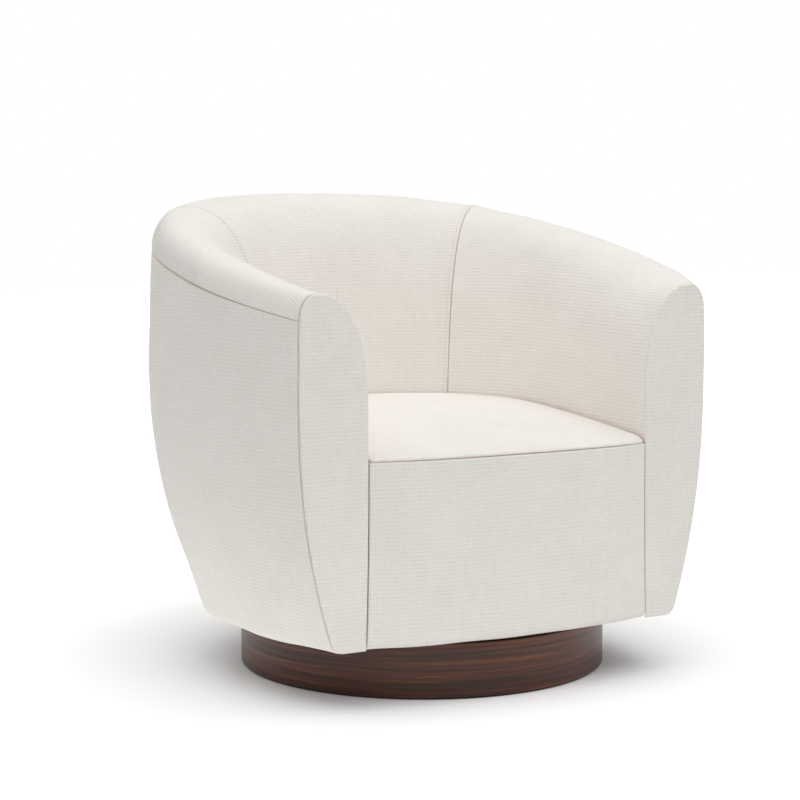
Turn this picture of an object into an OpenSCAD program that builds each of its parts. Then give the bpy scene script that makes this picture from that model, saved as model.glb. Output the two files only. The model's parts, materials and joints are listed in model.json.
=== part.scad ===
// Swivel barrel chair: an upholstered barrel body that turns on a low round plinth.
// The origin lies on the floor on the swivel axis, the front of the chair faces -Y.

/* [Barrel body] */
// Width of the body at its belly
body_w = 816; // [780:4:860]
// From the swivel axis to the arm fronts
front_d = 275; // [265:1:290]
// From the swivel axis to the back at the belly
back_d = 472; // [455:1:490]
// Height of the back
back_h = 750; // [730:1:780]
// Height of the arm fronts
arm_h = 611; // [590:1:630]
// Height of the body's lower edge above the floor
skirt_z = 89; // [87:0.5:95]
// Height of the belly, where the body is widest
belly_z = 463; // [440:1:480]

/* [Roll and inside] */
// Width of an arm, from the seat to the belly
arm_w = 165; // [156:1:178]
// Thickness of the back at seat height, to the belly
back_w = 204; // [196:1:214]
// Width of the roll's outer quarter at the arm fronts
front_lip_w = 28; // [25:1:34]
// Height of the roll's outer quarter at the arm fronts
front_lip_h = 39; // [34:1:44]
// Width of the roll's outer quarter at the back
back_lip_w = 35; // [32:1:40]
// Height of the roll's outer quarter at the back
back_lip_h = 49; // [44:1:54]
// Height of the roll's inner arch at the arm fronts
front_arch_h = 168; // [150:1:180]
// Height of the inner arch at the back
back_arch_h = 297; // [270:1:310]
// How far the inside back leans inward below its arch
back_lean = 28; // [18:1:34]

/* [Tuck of the outside] */
// How far the sides draw in at the lower edge
side_tuck = 56; // [45:1:62]
// How far the back draws in at the lower edge
back_tuck = 140; // [110:1:150]
// How far the sides draw in at the top
side_top_tuck = 9; // [4:1:14]
// How far the back draws in at the top
back_top_tuck = 21; // [12:1:28]

/* [Seat] */
// Height of the seat's front seam
seat_front_z = 365; // [355:1:375]
// Rise of the seat's edge from its front rounding to the back
seat_edge_rise = 31; // [22:1:38]
// Rise of the rounding behind the front seam
seat_front_rise = 9; // [5:1:12]
// Depth of the rounding behind the front seam
seat_front_round = 24; // [16:1:32]
// Crown of the seat's middle above its edges
seat_crown = 15; // [8:1:22]
// Bow of the front border at the seat's front seam
border_bow_top = 24; // [16:1:30]
// Bow of the front border at its lower edge
border_bow_low = 35; // [28:1:42]

/* [Covers] */
// Thickness of the padded outside covers
cover_t = 6; // [5:0.5:8]
// Thickness of the padded arm front panels
panel_t = 8; // [7:0.5:10]
// Depth of the front border's padding at its sides
border_t = 18; // [16:0.5:20]
// Rounding of the body's lower edge
skirt_r = 14; // [11:0.5:15]

/* [Frame] */
// Thickness of the plywood in the frame
ply_t = 18; // [16:0.5:20]
// Thickness of the frame's bottom board
board_t = 15; // [13:0.5:17]
// Depth of the upright ribs
rib_depth = 42; // [38:1:44]
// Height of the spring frame's upper side
spring_z = 290; // [282:1:294]
// Width of the seat rail
seat_rail_w = 55; // [45:1:65]
// Padding between the roll's ridge and the top rail
roll_pad = 38; // [34:1:44]
// Diameter of the spring wire
spring_wire_d = 4; // [3.5:0.1:4.5]

/* [Plinth] */
// Diameter of the plinth
plinth_d = 585; // [560:5:600]
// Height of the plinth's upper edge above the floor
plinth_top_z = 85; // [80:0.5:85]
// Wall of the plinth's ring
plinth_wall = 15; // [12:0.5:18]
// Thickness of the felt pad under the plinth
felt_t = 3; // [2:0.5:4]
// How far the felt pad stays back from the plinth's edge
felt_inset = 5; // [3:0.5:8]
// Thickness of the plinth's bottom board
plinth_floor_t = 12; // [10:0.5:15]
// Thickness of the plinth's top board
plinth_board_t = 18; // [15:0.5:20]

/* [Swivel] */
// Thickness of the swivel plates
plate_t = 3; // [2.5:0.1:3.5]
// Diameter of the ball race
race_d = 210; // [200:2:220]
// Width of a raised race
race_w = 14; // [12:0.5:18]
// From the race to the bolt circle of both plates
bolt_out = 20; // [17:1:25]
// From the bolt circle to the plates' edge
plate_edge = 18; // [14:1:22]
// Diameter of a bearing ball
ball_d = 10; // [9:0.5:11]
// Number of bearing balls
ball_n = 24; // [16:1:30]
// Diameter of the centre pin
pin_d = 20; // [18:0.5:22]
// Diameter of the bolts
bolt_d = 8; // [6:0.5:8]

/* [Hidden] */

// Clearance between neighbours, running clearance of the pin and the balls, overrun of cuts
gap = 0.3;
run_gap = 0.05;
over = 1;

// Where the outside begins to curve round the back, and the inside likewise
outer_turn_y = -0.022 * front_d;
inner_turn_y = 0.235 * front_d;
// Taper of the arms towards the front, and the fullness of both plan curves
arm_taper_share = 0.129;
arm_taper_exp = 2.5;
outer_exp = 2.45;
inner_exp = 1.95;
// How the tuck grows towards the floor and round the back
tuck_exp = 2.28;
tuck_round_exp = 0.86;
// How the inside's points spread round the back
inner_spread_exp = 0.79;
// Fullness of the roll's quarters
lip_exp = 2;
front_arch_exp = 2.35;
back_arch_exp = 2.8;
// Place of the corner seam round the back, 0 at the turn and 1 at the middle
seam_share = 0.46;

// Steps of the soft forms
arm_steps = 6;
corner_steps = 6;
back_steps = 10;
low_steps = 8;
high_steps = 3;
lip_steps = 6;
arch_steps = 11;
skirt_steps = 4;
border_steps = 6;
bow_steps = 16;
rib_steps = 7;
pad_back_steps = 6;

fabric = [0.91, 0.89, 0.86];
walnut = [0.26, 0.16, 0.11];
plywood = [0.80, 0.68, 0.48];
steel = [0.62, 0.63, 0.65];

// Thickness of the spring clips and of the spring cloth
clip_t = 1.5;
cloth_t = 2;
// Heights between the spring frame and the pads
spring_top_z = spring_z + gap + spring_wire_d;
clip_z = spring_top_z + gap;
cloth_z = clip_z + clip_t + gap;
// Room for wadding between the flat ribs and the curved covers and pads
frame_gap = 3;
pad_gap = 2.5;
// A length beyond every edge of the part, for cuts
beyond = 2 * body_w;

// Width between the arms, and from the swivel axis to the inside back at seat height
seat_w = body_w - 2 * arm_w;
inside_back_d = back_d - back_w;

plinth_r = plinth_d / 2;
inner_r = plinth_r - plinth_wall;
plate_z = plinth_top_z - plate_t;
pad_front = -front_d + panel_t + gap;
// The seat height at which the inside's plan is given
inside_z = seat_front_z + gap;

// Plan of a horseshoe: t from -1 to 0 along the arm, 0 to 1 round to the middle of the back.
function bend_x(t, half, full) = half * pow(cos(90 * t), 2 / full);
function bend_y(t, turn, back, full) = turn + (back - turn) * pow(sin(90 * t), 2 / full);
function arm_y(t, front, turn) = turn + t * (turn - front);
function arm_half(y) = body_w / 2 * (1 - arm_taper_share
    * pow(max(0, (outer_turn_y - y) / (outer_turn_y + front_d)), arm_taper_exp));
function outer_plan(t, front) = t < 0
    ? let (y = arm_y(t, front, outer_turn_y)) [arm_half(y), y]
    : [bend_x(t, body_w / 2, outer_exp), bend_y(t, outer_turn_y, back_d, outer_exp)];
// The inside runs level with the outside up to its own turn, and then round the back.
turn_share = asin(pow((inner_turn_y - outer_turn_y) / (back_d - outer_turn_y), outer_exp / 2)) / 90;
function inner_share(t) = pow((t - turn_share) / (1 - turn_share), inner_spread_exp);
function inner_plan(t, front) = t < turn_share
    ? [seat_w / 2, outer_plan(t, front).y]
    : let (v = inner_share(t))
        [bend_x(v, seat_w / 2, inner_exp), bend_y(v, inner_turn_y, inside_back_d, inner_exp)];

// How far the outside draws in at a height, for a direction w outwards
function below(z) = pow(max(0, (belly_z - z) / (belly_z - skirt_z)), tuck_exp);
function above(z) = pow(max(0, (z - belly_z) / (back_h - belly_z)), 2);
function round_mix(a, b, w) = a + (b - a) * pow(max(0, w.y), tuck_round_exp);
function draw_in(w, z) = round_mix(side_tuck, back_tuck, w) * below(z)
    + round_mix(side_top_tuck, back_top_tuck, w) * above(z);

// Shares of the way from the arm front to the corner seam, eased at both ends
function ease(v) = v * v * (3 - 2 * v);
function back_share(t) = ease(min(1, max(0, (t + 1) / (1 + seam_share))));
function mix(a, b, t) = a + (b - a) * back_share(t);

// The ridge falls in one plane from the back to the arm fronts.
ridge_back_y = back_d - back_top_tuck - back_lip_w;
ridge_slope = (back_h - arm_h) / (ridge_back_y + front_d);
function ridge_z(y) = back_h - ridge_slope * (ridge_back_y - y);

// One station: the ridge's place, the direction outwards, ridge height, seam height,
// width of the lip, of the wall inside the ridge and of the belly outside it, and its t
function station(t, front = pad_front) =
    let (o = outer_plan(t, front),
        i = inner_plan(t, front),
        w = (o - i) / norm(o - i),
        lip_w = mix(front_lip_w, back_lip_w, t),
        lip_h = mix(front_lip_h, back_lip_h, t),
        rough_seam = ridge_z((o - lip_w * w).y) - lip_h,
        in = draw_in(w, rough_seam),
        seam = ridge_z((o - (lip_w + in) * w).y) - lip_h,
        wall = norm(o - i) - draw_in(w, seam) - lip_w)
    [i + wall * w, w, seam + lip_h, seam, lip_w, wall, norm(o - i) - wall, t];
function st_r(s) = s[0];
function st_w(s) = s[1];
function st_h(s) = s[2];
function st_seam(s) = s[3];
function st_lip(s) = s[4];
function st_wall(s) = s[5];
function st_belly(s) = s[6];
function st_t(s) = s[7];
// A point of a station: distance outwards from the ridge and height
function place(s, d, z) = let (p = st_r(s) + d * st_w(s)) [p.x, p.y, z];
// Distance of the outside surface from the ridge at a height
function outer_d(s, z) = st_belly(s) - draw_in(st_w(s), min(z, st_seam(s)));
// Distance of the inside surface from the ridge at a height
function arch_h(s) = mix(front_arch_h, back_arch_h, st_t(s));
function arch_exp(s) = mix(front_arch_exp, back_arch_exp, st_t(s));
function lean(s, z) = mix(0, back_lean, st_t(s)) * (st_h(s) - z) / (st_h(s) - inside_z);
function arch_point(s, a) =
    let (z = st_h(s) - arch_h(s) * (1 - pow(sin(a), 2 / arch_exp(s))),
        wall = st_wall(s) - lean(s, inside_z))
    [-wall * pow(cos(a), 2 / arch_exp(s)) - lean(s, z), z];
function inner_d(s, z) = -(st_wall(s) - lean(s, inside_z)) - lean(s, z);
function arch_angle(i) = 90 * (1 - i / arch_steps);

// Mirror a list of points to the other side
function flip(points) = [for (p = points) [-p.x, p.y, p.z]];
// Stations of the pieces
function spread(a, b, n) = [for (i = [0:n]) a + (b - a) * i / n];
arm_ts = concat(spread(-1, 0, arm_steps), [for (t = spread(0, seam_share, corner_steps)) if (t > 0) t]);
back_ts = spread(seam_share + gap / body_w, 1, back_steps);

// Skin over rings of points: each ring has as many points as the first, both ends are flat
module skin(rings) {
    n = len(rings[0]);
    m = len(rings);
    polyhedron(
        points = [for (r = rings) each r],
        faces = concat(
            [[for (i = [0:n - 1]) i]],
            [[for (i = [n - 1:-1:0]) (m - 1) * n + i]],
            [for (k = [0:m - 2], i = [0:n - 1]) [k * n + (i + 1) % n, k * n + i, (k + 1) * n + i]],
            [for (k = [0:m - 2], i = [0:n - 1])
                [k * n + (i + 1) % n, (k + 1) * n + i, (k + 1) * n + (i + 1) % n]]
        )
    );
}
// Skin over strips: each ring is an outer path and an inner path of as many points, capped by quads
module strip_skin(rings) {
    n = len(rings[0]);
    m = len(rings);
    h = n / 2;
    polyhedron(
        points = [for (r = rings) each r],
        faces = concat(
            [for (i = [0:h - 2]) [i, i + 1, n - 1 - i]],
            [for (i = [0:h - 2]) [i + 1, n - 2 - i, n - 1 - i]],
            [for (i = [0:h - 2]) let (b = (m - 1) * n) [b + i + 1, b + i, b + n - 1 - i]],
            [for (i = [0:h - 2]) let (b = (m - 1) * n) [b + n - 2 - i, b + i + 1, b + n - 1 - i]],
            [for (k = [0:m - 2], i = [0:n - 1]) [k * n + (i + 1) % n, k * n + i, (k + 1) * n + i]],
            [for (k = [0:m - 2], i = [0:n - 1])
                [k * n + (i + 1) % n, (k + 1) * n + i, (k + 1) * n + (i + 1) % n]]
        )
    );
}

// Outside covers: a padded sheet that turns under the frame at its lower edge
flap_w = 34;
function down(list) = [for (i = [len(list) - 1:-1:0]) list[i]];
// A rounding from a to c with its corner at b
function rounding(a, b, c) = [for (v = spread(0, 1, skirt_steps))
    a * pow(1 - v, 2) + b * (2 * v * (1 - v)) + c * pow(v, 2)];
function skirt_out(s) = rounding([outer_d(s, skirt_z) - skirt_r, skirt_z], [outer_d(s, skirt_z), skirt_z],
    [outer_d(s, skirt_z + skirt_r), skirt_z + skirt_r]);
function skirt_in(s) = let (low = skirt_z + cover_t, high = skirt_z + skirt_r)
    rounding([outer_d(s, high) - cover_t, high], [outer_d(s, low) - cover_t, low],
        [outer_d(s, skirt_z) - skirt_r, low]);
function wall_zs(s) = concat(spread(skirt_z + skirt_r, belly_z, low_steps),
    spread(belly_z, st_seam(s) - gap, high_steps));
function wall_path(s, inset) = let (zs = wall_zs(s))
    [for (i = [1:len(zs) - 1]) if (zs[i] > zs[i - 1]) [outer_d(s, zs[i]) - inset, zs[i]]];
function cover_section(s) = concat(
    [[outer_d(s, skirt_z) - flap_w, skirt_z]], skirt_out(s), wall_path(s, 0),
    down(wall_path(s, cover_t)), skirt_in(s), [[outer_d(s, skirt_z) - flap_w, skirt_z + cover_t]]);
function cover_ring(t) = let (s = station(t)) [for (p = cover_section(s)) place(s, p[0], p[1])];

module outside_side() {
    color(fabric) strip_skin([for (t = arm_ts) cover_ring(t)]);
}
module outside_right() {
    outside_side();
}
module outside_left() {
    mirror([1, 0, 0]) outside_side();
}
module outside_back() {
    color(fabric) strip_skin(concat([for (t = back_ts) cover_ring(t)],
        [for (i = [len(back_ts) - 2:-1:0]) flip(cover_ring(back_ts[i]))]));
}

// Roll and inside pads: the lip, the inner arch and a back face that clears the frame
function rail_top_z(y) = ridge_z(y) - roll_pad;
function frame_out(s, z) = outer_d(s, z) - cover_t - frame_gap;
function frame_in(s, z) = frame_out(s, z) - rib_depth;
pad_low_z = cloth_z;
function lip_path(s) = [for (a = spread(0, 90, lip_steps))
    [st_lip(s) * pow(cos(a), 2 / lip_exp),
        st_seam(s) + (st_h(s) - st_seam(s)) * pow(sin(a), 2 / lip_exp)]];
function arch_path(s) = [for (i = [1:arch_steps]) arch_point(s, arch_angle(i))];
function pad_back_path(s) = [for (z = spread(pad_low_z, st_seam(s) - ply_t, pad_back_steps))
    [frame_in(s, z) - pad_gap, z]];
function under_z(s, d) = rail_top_z((st_r(s) + d * st_w(s)).y) + gap;
function pad_section(s) =
    let (a = frame_in(s, st_seam(s)) - pad_gap, b = st_lip(s) - cover_t - gap)
    concat(
        lip_path(s), arch_path(s), [[inner_d(s, pad_low_z), pad_low_z]], pad_back_path(s),
        [[a, under_z(s, a)], [b, under_z(s, b)], [b, st_seam(s) + gap]]);
function pad_ring(t) = let (s = station(t)) [for (p = pad_section(s)) place(s, p[0], p[1])];

module arm_pad() {
    color(fabric) skin([for (t = arm_ts) pad_ring(t)]);
}
module arm_pad_right() {
    arm_pad();
}
module arm_pad_left() {
    mirror([1, 0, 0]) arm_pad();
}
module inside_back() {
    color(fabric) skin(concat([for (t = back_ts) pad_ring(t)],
        [for (i = [len(back_ts) - 2:-1:0]) flip(pad_ring(back_ts[i]))]));
}

// Arm front panel: the section of the arm, closed in front by a flat padded panel
border_flare = 4.5;
border_gap = 2 * gap;
function border_half(z) = seat_w / 2 - border_gap
    + border_flare * pow(max(0, (seat_front_z - z) / (seat_front_z - skirt_z)), 2);
panel_round = 0.45 * panel_t;
panel_s = station(-1, -front_d);
// The panel's inner side beside the border: its lower corner, or the rest of it downwards
function side_point(z) = [border_half(z) + border_gap - st_r(panel_s).x, z];
function panel_side(part) = part < 0 ? [side_point(skirt_z)]
    : [for (z = spread(seat_front_z, skirt_z, border_steps)) if (z > skirt_z) side_point(z)];
panel_path = concat(
    panel_side(-1), skirt_out(panel_s),
    wall_path(panel_s, 0), [for (p = lip_path(panel_s)) if (p[1] > st_seam(panel_s) + gap) p],
    arch_path(panel_s), panel_side(1));
function centre_of(path) = [for (k = [0, 1]) ([for (p = path) 1] * [for (p = path) p[k]]) / len(path)];
// A path drawn in towards its own middle by a distance
function drawn_in(path, d) = let (c = centre_of(path))
    [for (p = path) let (v = c - p) p + v / norm(v) * min(d, norm(v) / 2)];
function panel_ring(y, inset) = [for (p = drawn_in(panel_path, inset)) [st_r(panel_s).x + p[0], y, p[1]]];

module arm_front() {
    color(fabric) skin([
        panel_ring(-front_d + panel_t, 0),
        panel_ring(-front_d + panel_round, 0),
        panel_ring(-front_d + panel_round * (1 - cos(45)), panel_round * (1 - cos(45))),
        panel_ring(-front_d, panel_round)
    ]);
}
module arm_front_right() {
    arm_front();
}
module arm_front_left() {
    mirror([1, 0, 0]) arm_front();
}

// Seat cushion: a crowned top over drawn-in sides, between the arms and the bowed front seam
seat_front_steps = 8;
seat_edge_r = 4;
side_in = 3;
cushion_low_z = cloth_z + cloth_t + gap;
bow_exp = 2.9;
rise_exp = 2.2;
seat_half = seat_w / 2 - gap;
border_back_y = -front_d + border_t;
function bow_y(x, half, bow) = -front_d - bow * (1 - pow(min(1, abs(x) / half), bow_exp));
// Height of the seat's edge at a depth, and of the rounding behind the bowed seam
function depth_share(y) = min(1, max(0, (y + front_d) / (inside_back_d + front_d)));
function front_share(x, y) = min(1, max(0, (y - bow_y(x, seat_half, border_bow_top)) / seat_front_round));
function edge_z(x, y) = seat_front_z + gap + seat_edge_rise * (1 - pow(1 - depth_share(y), rise_exp))
    + seat_front_rise * (1 - pow(1 - front_share(x, y), 2));
first_seat_t = (border_back_y + 2 * seat_edge_r - outer_turn_y) / (outer_turn_y - pad_front);
seat_ts = concat([first_seat_t], [for (t = concat(arm_ts, back_ts)) if (t > first_seat_t) t]);
// A point on the cushion's side: v is 0 at the underside and 1 at the edge of the crown
function seat_side_point(t, v, inset) =
    let (s = station(t), q = place(s, inner_d(s, seat_front_z), 0),
        top = edge_z(q.x, q.y), z = cushion_low_z + (top - cushion_low_z) * v,
        p = place(s, inner_d(s, z) - inset - gap, z))
    [max(0, p.x), p.y, z];
function seat_ring(v, inset, front_bow, front_z) =
    let (half = [for (t = seat_ts) seat_side_point(t, v, inset)])
    concat(
        half, [for (i = [len(half) - 2:-1:0]) [-half[i].x, half[i].y, half[i].z]],
        [for (x = spread(-seat_half + inset, seat_half - inset, seat_front_steps))
            [x, front_bow > 0 ? bow_y(x, seat_half, front_bow) : border_back_y + gap + inset, front_z]]);
edge_ring = seat_ring(1, 0, border_bow_top, seat_front_z + gap);
function crown_ring(share) = [for (p = edge_ring) let (x = p.x * share, y = p.y * share)
    [x, y, edge_z(x, y) + seat_crown * (1 - pow(share, 2))]];
crown_shares = [0.97, 0.93, 0.86, 0.74, 0.58, 0.4, 0.2];
top_share = 0.04;
seat_top_z = edge_z(0, 0) + seat_crown;
top_ring = [for (p = edge_ring) [p.x * top_share, p.y * top_share, seat_top_z]];

module seat_cushion() {
    color(fabric) skin(concat([
        seat_ring(0, side_in, 0, cushion_low_z),
        seat_ring(0.45, 0, 0, (cushion_low_z + seat_front_z) / 2),
        seat_ring(0.85, 0, 0, seat_front_z + gap / 2),
        edge_ring
    ], [for (c = crown_shares) crown_ring(c)], [top_ring]));
}

// Seat front border: bowed padded band from the front seam down to the body's lower edge
function border_row(z, inset) =
    let (v = (z - skirt_z) / (seat_front_z - skirt_z),
        half = border_half(z),
        bow = border_bow_low + (border_bow_top - border_bow_low) * v)
    concat([for (x = spread(-half, half, bow_steps)) [x, bow_y(x, half, bow) + inset, z]],
        [[half, border_back_y, z], [-half, border_back_y, z]]);
module seat_front() {
    top = seat_front_z - seat_edge_r;
    color(fabric) skin(concat(
        [for (a = spread(0, 90, skirt_steps))
            border_row(skirt_z + skirt_r * (1 - cos(a)), skirt_r * (1 - sin(a)))],
        [for (z = spread(skirt_z + skirt_r, top, border_steps)) if (z > skirt_z + skirt_r) border_row(z, 0)],
        [border_row(seat_front_z, seat_edge_r / 2)]
    ));
}

// Frame: plan outlines that follow the covers, with the covers' own steps
frame_ts = concat(arm_ts, back_ts);
function frame_plan(z, inset) =
    [for (t = frame_ts) let (s = station(t), p = place(s, frame_out(s, z) - inset, z)) [p.x, p.y]];
function both_sides(half) = concat(half, [for (i = [len(half) - 2:-1:0]) [-half[i].x, half[i].y]]);
board_z = skirt_z + skirt_r + cover_t - gap;
rib_ring_z = skirt_z + cover_t + gap;
ring_z = board_z - rib_ring_z;
frame_front_y = border_back_y + gap;
board_floor_z = board_z + board_t;

module behind(y) {
    intersection() {
        children();
        translate([-body_w, y]) square([beyond, beyond]);
    }
}
// A horseshoe of wood between two distances from the frame's outline at a height
module horseshoe(plan_z, inset, width, z, height, front_y = frame_front_y) {
    outer = frame_plan(plan_z, inset);
    inner = frame_plan(plan_z, inset + width);
    translate([0, 0, z]) linear_extrude(height)
        behind(front_y) polygon(concat(both_sides(outer), down(both_sides(inner))));
}

module frame_bottom_rib() {
    color(plywood) horseshoe(skirt_z, skirt_r - cover_t, 2 * ply_t, rib_ring_z, ring_z);
}

bolt_circle_d = race_d + race_w + 2 * bolt_out;
plate_r = bolt_circle_d / 2 + plate_edge;
nut_room_r = 1.6 * pin_d;
module bolt_holes(z, height) {
    for (i = [0:3])
        rotate([0, 0, 45 + 90 * i]) translate([bolt_circle_d / 2, 0, z])
            cylinder(d = bolt_d, h = height, $fn = 24);
}
module frame_bottom_board() {
    color(plywood) difference() {
        translate([0, 0, board_z]) linear_extrude(board_t)
            behind(frame_front_y) polygon(both_sides(frame_plan(board_z, 0)));
        translate([0, 0, board_z - over]) cylinder(r = nut_room_r, h = board_t + 2 * over, $fn = 48);
        bolt_holes(board_z - over, board_t + 2 * over);
    }
}

dust_t = 1;
dust_hole_r = plate_r + ply_t;
module dust_cover() {
    color([0.12, 0.12, 0.13]) difference() {
        translate([0, 0, rib_ring_z - gap - dust_t]) linear_extrude(dust_t)
            behind(frame_front_y) polygon(both_sides(frame_plan(skirt_z, flap_w - cover_t)));
        translate([0, 0, skirt_z]) cylinder(r = dust_hole_r, h = ply_t, $fn = 96);
    }
}

// Upright ribs: plywood profiles that follow the cover, cut off under the sloping top rail
rail_low = roll_pad + ply_t;
module below_rail(drop) {
    translate([0, 0, ridge_z(0) - drop]) rotate([atan(ridge_slope), 0, 0])
        translate([-body_w, -beyond, -beyond]) cube([beyond, 2 * beyond, beyond]);
}
module profile(s, outline, back) {
    intersection() {
        translate([st_r(s).x, st_r(s).y, 0]) rotate([0, 0, atan2(st_w(s).y, st_w(s).x)])
            rotate([90, 0, 0]) translate([0, 0, -back]) linear_extrude(ply_t) polygon(outline);
        below_rail(rail_low);
    }
}
module rib(t) {
    s = station(t);
    zs = spread(board_floor_z, st_seam(s), rib_steps);
    profile(s, concat([for (z = zs) [frame_out(s, z), z]],
        [for (z = down(zs)) [frame_in(s, z), z]]), ply_t / 2);
}
arm_rib_shares = [-0.45, 0.05];
back_rib_shares = [0.4, 0.68];
module side_ribs() {
    color(plywood) for (t = arm_rib_shares) rib(t);
}
module ribs_right() {
    side_ribs();
}
module ribs_left() {
    mirror([1, 0, 0]) side_ribs();
}
module ribs_back() {
    color(plywood) {
        rib(1);
        for (t = back_rib_shares) {
            rib(t);
            mirror([1, 0, 0]) rib(t);
        }
    }
}

// Top rail: a horseshoe of plywood in the plane of the ridge, on top of the ribs
module top_rail() {
    stations = [for (t = frame_ts) station(t)];
    outer = [for (s = stations) let (p = place(s, frame_out(s, st_seam(s)), 0)) [p.x, p.y]];
    inner = [for (s = stations) let (p = place(s, frame_in(s, st_seam(s)) + gap, 0)) [p.x, p.y]];
    color(plywood) intersection() {
        linear_extrude(back_h)
            behind(pad_front + gap) polygon(concat(both_sides(outer), down(both_sides(inner))));
        difference() {
            below_rail(roll_pad);
            below_rail(rail_low);
        }
    }
}

// Seat rail: a level horseshoe against the inner edges of the ribs
seat_rail_z = spring_z - ply_t;
rail_front_y = frame_front_y + ply_t + gap;
rail_gap = 3 * gap;
module seat_rail() {
    color(plywood) horseshoe(seat_rail_z, rib_depth + rail_gap, seat_rail_w, seat_rail_z, ply_t, rail_front_y);
}

rail_half = border_half(skirt_z);
module front_rail() {
    color(plywood) translate([-rail_half, frame_front_y, board_floor_z])
        cube([2 * rail_half, ply_t, spring_z - board_floor_z]);
}

// Arm front boards: the foremost uprights, which the arm front panels are fixed to
foot_z = spring_z;
// Their foot reaches in to the front rail, and their upper part stands beside the arm pad.
module arm_board() {
    s = station(-1);
    behind = station(-1 + (gap + ply_t) / (outer_turn_y - pad_front));
    foot_d = rail_half + border_gap - st_r(s).x;
    low_zs = spread(board_floor_z, foot_z, rib_steps);
    high_zs = spread(foot_z, st_seam(s), rib_steps);
    color(plywood) profile(s, concat(
        [for (z = concat(low_zs, [for (z = high_zs) if (z > foot_z) z])) [frame_out(s, z), z]],
        [for (z = down(high_zs)) [frame_in(behind, z) + st_r(behind).x - st_r(s).x, z]],
        [[foot_d, foot_z], [foot_d, board_floor_z]]
    ), gap + ply_t);
}
module arm_board_right() {
    arm_board();
}
module arm_board_left() {
    mirror([1, 0, 0]) arm_board();
}

block_w = 45;
block_h = 60;
module corner_blocks() {
    color(plywood) for (side = [-1, 1])
        translate([side * rail_half, rail_front_y, board_floor_z]) linear_extrude(block_h)
            polygon([[0, 0], [-side * block_w, 0], [0, block_w]]);
}

// Sinuous springs: one wire per spring, bent in even loops between the rails
spring_n = 5;
spring_pitch = 84;
loop_w = 24;
loop_n = 9;
spring_steps = 8;
spring_front_y = frame_front_y + ply_t / 2;
// Middle line of the seat rail round the back, as pairs of x and y
rail_line = [for (t = spread(1, 0.2, 2 * back_steps))
    let (s = station(t), p = place(s, frame_in(s, seat_rail_z) - rail_gap - seat_rail_w / 2, 0)) [p.x, p.y]];
function spring_back_y(x) = lookup(abs(x) + loop_w, rail_line);
function wave(v) = loop_w * sin(180 * loop_n * v);
function spring_line(v, side, back_y) =
    let (y = spring_front_y + (back_y - spring_front_y) * v,
        slope = loop_w * PI * loop_n * cos(180 * loop_n * v) / (back_y - spring_front_y),
        n = [1, -slope] / norm([1, slope]))
    [wave(v), y] + side * spring_wire_d / 2 * n;
module spring(back_y) {
    vs = spread(0, 1, spring_steps * loop_n);
    linear_extrude(spring_wire_d)
        polygon(concat([for (v = vs) spring_line(v, -1, back_y)],
            [for (v = down(vs)) spring_line(v, 1, back_y)]));
}
spring_xs = [for (i = [0:spring_n - 1]) (i - (spring_n - 1) / 2) * spring_pitch];
module seat_springs() {
    color(steel) for (x = spring_xs) translate([x, 0, spring_z + gap]) spring(spring_back_y(x));
}

clip_w = 14;
clip_l = 0.9 * ply_t;
module spring_clips() {
    color(steel) for (x = spring_xs, y = [spring_front_y, spring_back_y(x)])
        translate([x - clip_w / 2, y - clip_l / 2, clip_z]) cube([clip_w, clip_l, clip_t]);
}

cloth_in = 12;
module spring_cloth() {
    half = [for (t = seat_ts)
        let (s = station(t), p = place(s, inner_d(s, cloth_z) - cloth_in, 0)) [p.x, p.y]];
    color([0.75, 0.68, 0.55]) translate([0, 0, cloth_z]) linear_extrude(cloth_t) polygon(both_sides(half));
}

// Plinth
module floor_pad() {
    color([0.15, 0.14, 0.14]) cylinder(r = plinth_r - felt_inset, h = felt_t, $fn = 180);
}
edge_r = 1.5;
module plinth_ring() {
    color(walnut) rotate_extrude($fn = 180) polygon([
        [inner_r, felt_t], [plinth_r - edge_r, felt_t], [plinth_r, felt_t + edge_r],
        [plinth_r, plinth_top_z - edge_r], [plinth_r - edge_r, plinth_top_z], [inner_r, plinth_top_z]
    ]);
}
module plinth_floor_board() {
    color(plywood) translate([0, 0, felt_t]) cylinder(r = inner_r - gap, h = plinth_floor_t, $fn = 180);
}
plinth_board_z = plate_z - plinth_board_t;
access_r = 14;
module plinth_top_board() {
    color(plywood) difference() {
        translate([0, 0, plinth_board_z]) cylinder(r = inner_r - gap, h = plinth_board_t, $fn = 180);
        translate([0, 0, plinth_board_z - over])
            cylinder(r = nut_room_r, h = plinth_board_t + 2 * over, $fn = 48);
        bolt_holes(plinth_board_z - over, plinth_board_t + 2 * over);
        translate([bolt_circle_d / 2, 0, plinth_board_z - over])
            cylinder(r = access_r, h = plinth_board_t + 2 * over, $fn = 32);
    }
}
glue_block_w = 40;
glue_block_n = 8;
module plinth_blocks() {
    low = felt_t + plinth_floor_t;
    color(plywood) intersection() {
        translate([0, 0, low]) cylinder(r = inner_r - gap, h = plinth_board_z - low, $fn = 180);
        for (i = [0:glue_block_n - 1]) rotate([0, 0, 360 / glue_block_n * (i + 0.5)])
            translate([inner_r - glue_block_w, -glue_block_w / 2, low])
                cube([glue_block_w, glue_block_w, plinth_board_z - low]);
    }
}

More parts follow.
